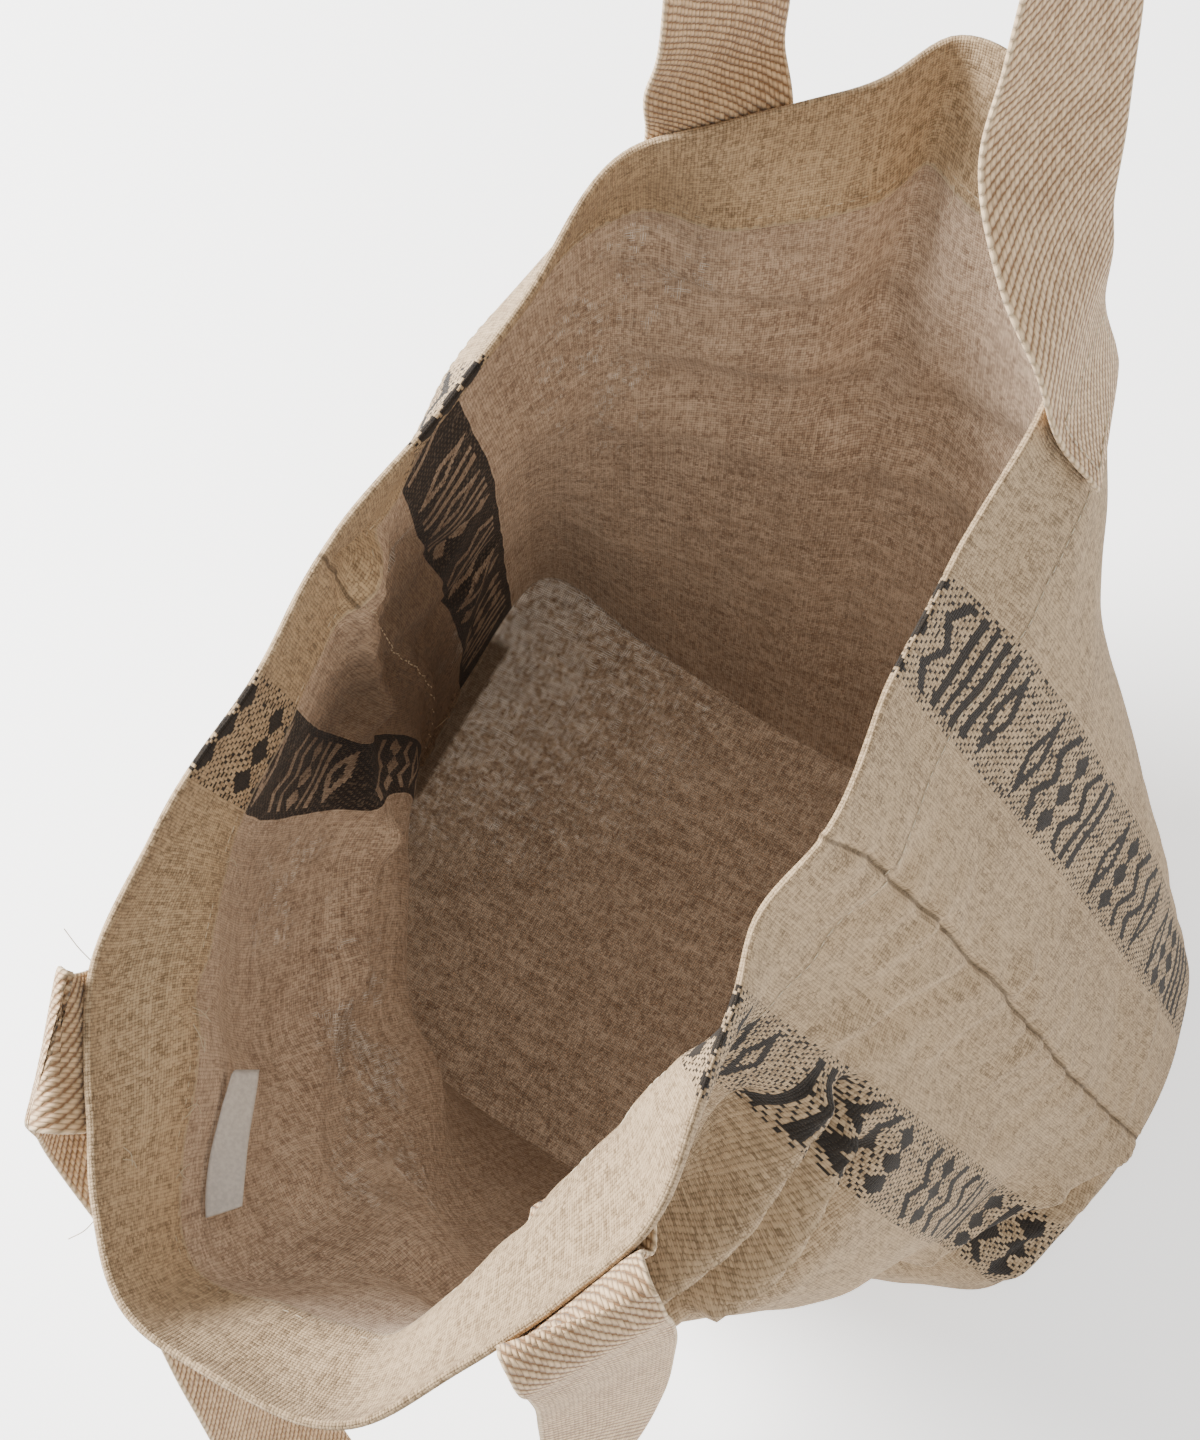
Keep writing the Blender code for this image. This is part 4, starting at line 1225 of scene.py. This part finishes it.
def stitch_tree(material):
    """Geometry Nodes that lay one thread float on every point, along its run."""
    tree = bpy.data.node_groups.new("Thread floats", "GeometryNodeTree")
    face = tree.interface
    face.new_socket("Geometry", in_out="INPUT", socket_type="NodeSocketGeometry")
    for name, default in (("Thread diameter", 0.5 * MM), ("Float length", 2.6 * MM), ("Unevenness", 0.18)):
        socket = face.new_socket(name, in_out="INPUT", socket_type="NodeSocketFloat")
        socket.default_value = default
    face.new_socket("Geometry", in_out="OUTPUT", socket_type="NodeSocketGeometry")
    points = add_node(tree, "NodeGroupInput")
    unevenness = points.beside("Unevenness")
    diameter = points.beside("Thread diameter")
    bead = add_node(tree, "GeometryNodeMeshUVSphere", {"Segments": 6, "Rings": 5, "Radius": 0.5})
    run = add_node(tree, "GeometryNodeInputNamedAttribute", {"Name": "run"}, data_type="FLOAT_VECTOR")
    off = add_node(tree, "GeometryNodeInputNamedAttribute", {"Name": "off"}, data_type="FLOAT_VECTOR")
    turn = add_node(tree, "FunctionNodeAlignRotationToVector", {"Vector": run}, axis="X")
    turn = add_node(tree, "FunctionNodeAlignRotationToVector", {"Rotation": turn, "Vector": off},
                    axis="Z", pivot_axis="X")
    chance = add_node(tree, "FunctionNodeRandomValue", {"Seed": 7, 2: 1.0 - unevenness, 3: unevenness + 1.0},
                      1, data_type="FLOAT")
    length = points.beside("Float length") * chance
    scale = add_node(tree, "ShaderNodeCombineXYZ", (length, diameter, diameter))
    laid = add_node(tree, "GeometryNodeInstanceOnPoints",
                    {"Points": points, "Instance": bead, "Rotation": turn, "Scale": scale})
    real = add_node(tree, "GeometryNodeRealizeInstances", {"Geometry": laid})
    smooth = add_node(tree, "GeometryNodeSetShadeSmooth", {"Geometry": real})
    finish = add_node(tree, "GeometryNodeSetMaterial", {"Geometry": smooth, "Material": material})
    add_node(tree, "NodeGroupOutput", {0: finish})
    return tree


def build_stitches(name, places, material, diameter, length, unevenness):
    """One mesh of thread floats at the given places."""
    centres, runs, offs = (np.concatenate(items) for items in zip(*places))
    mesh = bpy.data.meshes.new(name + "_places")
    mesh.from_pydata(centres.tolist(), [], [])
    for attribute, values in (("run", runs), ("off", offs)):
        layer = mesh.attributes.new(attribute, "FLOAT_VECTOR", "POINT")
        layer.data.foreach_set("vector", values.astype(np.float32).ravel())
    holder = bpy.data.objects.new(name + "_places", mesh)
    bpy.context.scene.collection.objects.link(holder)
    modifier = holder.modifiers.new("stitches", "NODES")
    modifier.node_group = stitch_tree(material)
    wanted = {"Thread diameter": diameter, "Float length": length, "Unevenness": unevenness}
    for item in modifier.node_group.interface.items_tree:
        if item.item_type == "SOCKET" and item.in_out == "INPUT" and item.name in wanted:
            modifier[item.identifier] = wanted[item.name]
    graph = bpy.context.evaluated_depsgraph_get()
    graph.update()
    laid = bpy.data.meshes.new_from_object(holder.evaluated_get(graph))
    laid.name = name
    bpy.data.objects.remove(holder)
    stitches = bpy.data.objects.new(name, laid)
    bpy.context.scene.collection.objects.link(stitches)
    return stitches


# Loose thread ends: where each starts on the cloth and how it lies, step by step, in
# millimetres along, up and off the face
LooseThread = namedtuple("LooseThread", "name along up face steps")
LOOSE_THREADS = (
    LooseThread("over the label, first", 786, 287, "hem", ((0, 1, 0.3), (-2, -2, 1.5), (-5, -5, 2.5))),
    LooseThread("over the label, second", 784, 287, "hem", ((0, 1, 0.3), (-1, -3, 1.5), (1, -6, 2.5))),
    LooseThread("over the label, third", 781, 288, "hem", ((0, 0, 0.3), (-3, -1, 1.5), (-6, -3, 1.5))),
    LooseThread("over the label, fourth", 778, 287, "hem", ((0, 0, 0.3), (-1, -3, 1.2), (-4, -4, 1.0))),
    LooseThread("beside the label, first", 762, 287, "hem", ((0, 1, 0.3), (1, -2, 1.5), (-1, -5, 2.0))),
    LooseThread("beside the label, second", 760, 288, "hem", ((0, 0, 0.3), (2, -2, 1.2), (4, -4, 1.2))),
    LooseThread("beside the label, third", 748, 287, "hem", ((0, 0, 0.3), (-2, -2, 1.4), (-3, -5, 1.4))),
    LooseThread("beside the label, fourth", 746, 288, "hem", ((0, 0, 0.3), (2, -2, 1.2), (3, -5, 1.6))),
    LooseThread("facing fray, first", 758, 312, "hem", ((0, 0, 0.3), (-2, -2, 1.2), (-5, -3, 1.0))),
    LooseThread("facing fray, second", 755, 312, "hem", ((0, 0, 0.3), (-1, -3, 1.2), (-3, -5, 0.8))),
    LooseThread("rim end, left", 806, 325, "out", ((0, -1, 0.4), (2, 2, 3), (5, 5, 7))),
    LooseThread("rim end, over the label", 742, 325, "out", ((0, -1, 0.4), (-2, 2, 2), (-3, 3, 6))),
    LooseThread("hem end, left", 838, 287, "hem", ((0, 0, 0.3), (2, -3, 1.5), (0, -6, 2))),
    LooseThread("hem end, back", 236, 287, "hem", ((0, 0, 0.3), (2, -3, 1.5), (1, -6, 2))),
    LooseThread("turning end, left foot", 12, 28, "in", ((0, 0, 1.0), (3, 3, 2), (6, 2, 2))),
)


def build_loose_threads(material):
    """Frayed linen threads as thin round tubes."""
    curve = bpy.data.curves.new("loose_threads", "CURVE")
    curve.dimensions = "3D"
    curve.bevel_depth = 0.14 * MM
    curve.bevel_resolution = 1
    curve.use_fill_caps = True
    for thread in LOOSE_THREADS:
        points = []
        for along_step, up_step, off_step in thread.steps:
            along = np.array([(thread.along + along_step) * MM])
            up = np.array([(thread.up + up_step) * MM])
            level = np.minimum(up, WALL_HEIGHT)
            point, _, off = face_places(along, level, thread.face, (1.0, 0.0))
            points.append(point[0] + off[0] * off_step * MM + np.array([0, 0, max(0.0, up[0] - WALL_HEIGHT)]))
        points = np.array(points)
        places = np.concatenate([[0.0], np.cumsum(np.linalg.norm(np.diff(points, axis=0), axis=1))])
        line = smooth_curve(places, points, np.linspace(0, places[-1], 24))
        spline = curve.splines.new("POLY")
        spline.points.add(len(line) - 1)
        for spot, value in zip(spline.points, line):
            spot.co = (*value, 1.0)
    holder = bpy.data.objects.new("loose_threads_path", curve)
    bpy.context.scene.collection.objects.link(holder)
    graph = bpy.context.evaluated_depsgraph_get()
    mesh = bpy.data.meshes.new_from_object(holder.evaluated_get(graph))
    mesh.name = "loose_threads"
    bpy.data.objects.remove(holder)
    mesh.materials.append(material)
    threads = bpy.data.objects.new("loose_threads", mesh)
    bpy.context.scene.collection.objects.link(threads)
    return threads


# Camera: the photograph's, from its own vanishing lines and the bag's real size
FOCAL_PIXELS = 2096.6378
IMAGE_SIZE = (1200, 1440)
NADIR_PIXEL = (1148.2384, 1377.1863)
CAMERA_PLACE = (0.193, -0.0664, 0.7778)
CAMERA_HEADING = 0.5469
SENSOR_HEIGHT = 24.0


def build_camera():
    """The camera over the bag's corner, turned by where the plumb line meets the image."""
    down = Vector(((NADIR_PIXEL[0] - IMAGE_SIZE[0] / 2) / FOCAL_PIXELS,
                   (NADIR_PIXEL[1] - IMAGE_SIZE[1] / 2) / FOCAL_PIXELS, 1.0)).normalized()
    up = -down
    along = Vector((math.cos(CAMERA_HEADING), math.sin(CAMERA_HEADING), 0.0))
    along = (along - up * along.dot(up)).normalized()
    side = up.cross(along)
    data = bpy.data.cameras.new("photo_camera")
    data.sensor_fit = "VERTICAL"
    data.sensor_height = SENSOR_HEIGHT
    data.lens = FOCAL_PIXELS / IMAGE_SIZE[1] * SENSOR_HEIGHT
    data.clip_start = 0.01
    camera = bpy.data.objects.new("photo_camera", data)
    rows = []
    for row, place in zip((along, side, up), CAMERA_PLACE):
        rows.append((row[0], -row[1], -row[2], place))
    camera.matrix_world = Matrix((*rows, (0, 0, 0, 1)))
    bpy.context.scene.collection.objects.link(camera)
    bpy.context.scene.camera = camera


# Studio: places, sizes in metres and powers in watts
Lamp = namedtuple("Lamp", "name x y z size power aim_x aim_y aim_z")
LAMPS = (
    Lamp("window", -1.25, -0.22, 1.35, 0.9, 120, 0, 0, 0.15),
    Lamp("fill", 1.30, -0.80, 1.40, 1.2, 8, 0.1, -0.1, 0.0),
)
ROOM_LIGHT = 0.75
TABLE_GLOW = 1.0


def build_lamps(strength):
    """A large soft light from the upper left of the picture and a weak one opposite."""
    for lamp in LAMPS:
        data = bpy.data.lights.new(lamp.name, "AREA")
        data.shape = "DISK"
        data.size = lamp.size
        data.energy = lamp.power * strength
        light = bpy.data.objects.new(lamp.name, data)
        light.location = (lamp.x, lamp.y, lamp.z)
        aim = Vector((lamp.aim_x, lamp.aim_y, lamp.aim_z)) - light.location
        light.rotation_euler = aim.to_track_quat("-Z", "Y").to_euler()
        bpy.context.scene.collection.objects.link(light)
    world = bpy.data.worlds.new("pale_room")
    world.use_nodes = True
    background = world.node_tree.nodes["Background"]
    background.inputs["Color"].default_value = (1.0, 1.0, 1.0, 1.0)
    background.inputs["Strength"].default_value = ROOM_LIGHT * strength
    bpy.context.scene.world = world


def build_floor(material, strength):
    """A wide plain table top, lit from below like a photographer's light table."""
    shader = material.node_tree.nodes["Principled BSDF"]
    shader.inputs["Emission Color"].default_value = (1.0, 1.0, 1.0, 1.0)
    shader.inputs["Emission Strength"].default_value = TABLE_GLOW * strength
    bm = bmesh.new()
    bmesh.ops.create_grid(bm, x_segments=1, y_segments=1, size=6.0)
    return finish_mesh(bm, "table_top", [material])


# Colours that a user may want to change
FinishColour = namedtuple("FinishColour", "name title use code")
FINISH_COLOURS = (
    # Lit and low threads: the two ends of the linen's tone, which includes painted shading of the weave's
    # relief
    FinishColour("linen_light", "Linen, lit threads", "Right side of the cloth, raised threads", "#B99F7D"),
    FinishColour("linen_dark", "Linen, low threads", "Right side of the cloth, low threads", "#6F5B43"),
    FinishColour("inside_light", "Inside, lit threads", "Wrong side of the cloth, raised threads", "#B9A188"),
    FinishColour("inside_dark", "Inside, low threads", "Wrong side of the cloth, low threads", "#735D4B"),
    # Painted shade: the colour of every painted shade on the linen
    FinishColour("shadow", "Gaps", "Dark gaps between threads", "#3A2C1D"),
    # Painted light: the colour of the painted daylight in the slack weave
    FinishColour("daylight", "Open weave", "Table seen through slipped threads", "#F2EBDD"),
    FinishColour("band_thread", "Band thread", "Dark yarn of the woven bands", "#0B0B0E"),
    # Lit floats and gaps of the webbing: their tone includes painted shading of the floats' relief
    FinishColour("webbing_light", "Webbing, lit floats", "Raised yarns of the straps", "#E0BF95"),
    FinishColour("webbing_dark", "Webbing, gaps", "Low places of the straps", "#876442"),
    FinishColour("selvedge", "Selvedge", "Edge yarns of the straps", "#E2CDA8"),
    FinishColour("stitch_thread", "Sewing thread", "Thread of the hem and the strap boxes", "#C9B799"),
    FinishColour("label", "Label", "Blank satin label", "#D3CEC6"),
    FinishColour("floor", "Table", "Colour of the table top", "#FBFAF8"),
)


class ToteFinish(bpy.types.PropertyGroup):
    """Colours, light and thread that a user may want to change."""

    light_strength: bpy.props.FloatProperty(
        name="Light", description="Strength of the studio light",
        subtype="FACTOR", min=0.1, max=4, default=1.0)
    stitch_diameter: bpy.props.FloatProperty(
        name="Stitch diameter", description="Thickness of the sewing thread",
        unit="LENGTH", subtype="DISTANCE", min=0.0001, max=0.002, default=0.0005)


for finish_colour in FINISH_COLOURS:
    ToteFinish.__annotations__[finish_colour.name] = bpy.props.FloatVectorProperty(
        name=finish_colour.title, description=finish_colour.use, subtype="COLOR", size=3, min=0, max=1,
        default=linear(finish_colour.code)[:3])


class TOTE_OT_linen_body(bpy.types.Operator):
    """Make the sewn linen body with its hem, seams and woven bands"""

    bl_idname = "tote.linen_body"
    bl_label = "Linen body"

    def execute(self, context):
        body = build_body()
        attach(body, "root")
        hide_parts("bag_body")
        return {"FINISHED"}


class TOTE_OT_straps(bpy.types.Operator):
    """Make the two webbing carrying straps"""

    bl_idname = "tote.straps"
    bl_label = "Carrying straps"

    def execute(self, context):
        for name, ends, points, node, slot in (
                ("back_strap", BACK_STRAP_ENDS, BACK_STRAP, "handle_back", "jute_webbing_back"),
                ("front_strap", FRONT_STRAP_ENDS, FRONT_STRAP, "handle_front", "jute_webbing_front")):
            strap = build_strap(name, ends, points, webbing_material("Jute webbing, " + name))
            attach(strap, "root")
            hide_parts(node)
        return {"FINISHED"}


class TOTE_OT_label(bpy.types.Operator):
    """Make the blank satin label inside the front wall"""

    bl_idname = "tote.label"
    bl_label = "Blank label"

    def execute(self, context):
        finish = context.scene.tote_finish
        label = build_label(plain_material("Satin label", finish.label, 0.45, 0.1 * MM, 0.2))
        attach(label, "root")
        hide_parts("care_label")
        return {"FINISHED"}


class TOTE_OT_sewing(bpy.types.Operator):
    """Lay the stitches and the loose thread ends"""

    bl_idname = "tote.sewing"
    bl_label = "Stitches and threads"

    def execute(self, context):
        finish = context.scene.tote_finish
        thread = plain_material("Cotton sewing thread", finish.stitch_thread, 0.8, 0.1 * MM, 0.1)
        rows = [stitch_places(row) for row in STITCH_ROWS]
        hem = build_stitches("hem_stitches", rows, thread, finish.stitch_diameter, 2.7 * MM, 0.18)
        boxes = [strap_stitch_places(BACK_STRAP_ENDS, BACK_STRAP),
                 strap_stitch_places(FRONT_STRAP_ENDS, FRONT_STRAP)]
        straps = build_stitches("strap_stitches", boxes, thread, finish.stitch_diameter, 3.0 * MM, 0.1)
        loose = build_loose_threads(thread)
        for piece in (hem, straps, loose):
            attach(piece, "root")
        return {"FINISHED"}


class TOTE_OT_stage(bpy.types.Operator):
    """Make the table top, the studio light and the camera"""

    bl_idname = "tote.stage"
    bl_label = "Table, light and camera"

    def execute(self, context):
        finish = context.scene.tote_finish
        floor = build_floor(plain_material("Painted table top", finish.floor, 0.6), finish.light_strength)
        build_lamps(finish.light_strength)
        build_camera()
        return {"FINISHED"}


class TOTE_PT_panel(bpy.types.Panel):
    """Buttons for the pieces of the bag"""

    bl_idname = "TOTE_PT_panel"
    bl_label = "Linen tote bag"
    bl_space_type = "VIEW_3D"
    bl_region_type = "UI"
    bl_category = "Tote bag"

    def draw(self, context):
        for operator in OPERATORS:
            self.layout.operator(operator.bl_idname)
        for name in ToteFinish.__annotations__:
            self.layout.prop(context.scene.tote_finish, name)


OPERATORS = (TOTE_OT_linen_body, TOTE_OT_straps, TOTE_OT_label, TOTE_OT_sewing, TOTE_OT_stage)
CLASSES = (ToteFinish, *OPERATORS, TOTE_PT_panel)


def register():
    """Add the bag's classes to Blender."""
    for item in CLASSES:
        bpy.utils.register_class(item)
    bpy.types.Scene.tote_finish = bpy.props.PointerProperty(type=ToteFinish)


def unregister():
    """Take the bag's classes out of Blender."""
    del bpy.types.Scene.tote_finish
    for item in reversed(CLASSES):
        bpy.utils.unregister_class(item)


def main():
    """Build every piece in order."""
    register()
    bpy.ops.tote.linen_body()
    bpy.ops.tote.straps()
    bpy.ops.tote.label()
    bpy.ops.tote.sewing()
    bpy.ops.tote.stage()


if __name__ == "__main__":
    main()
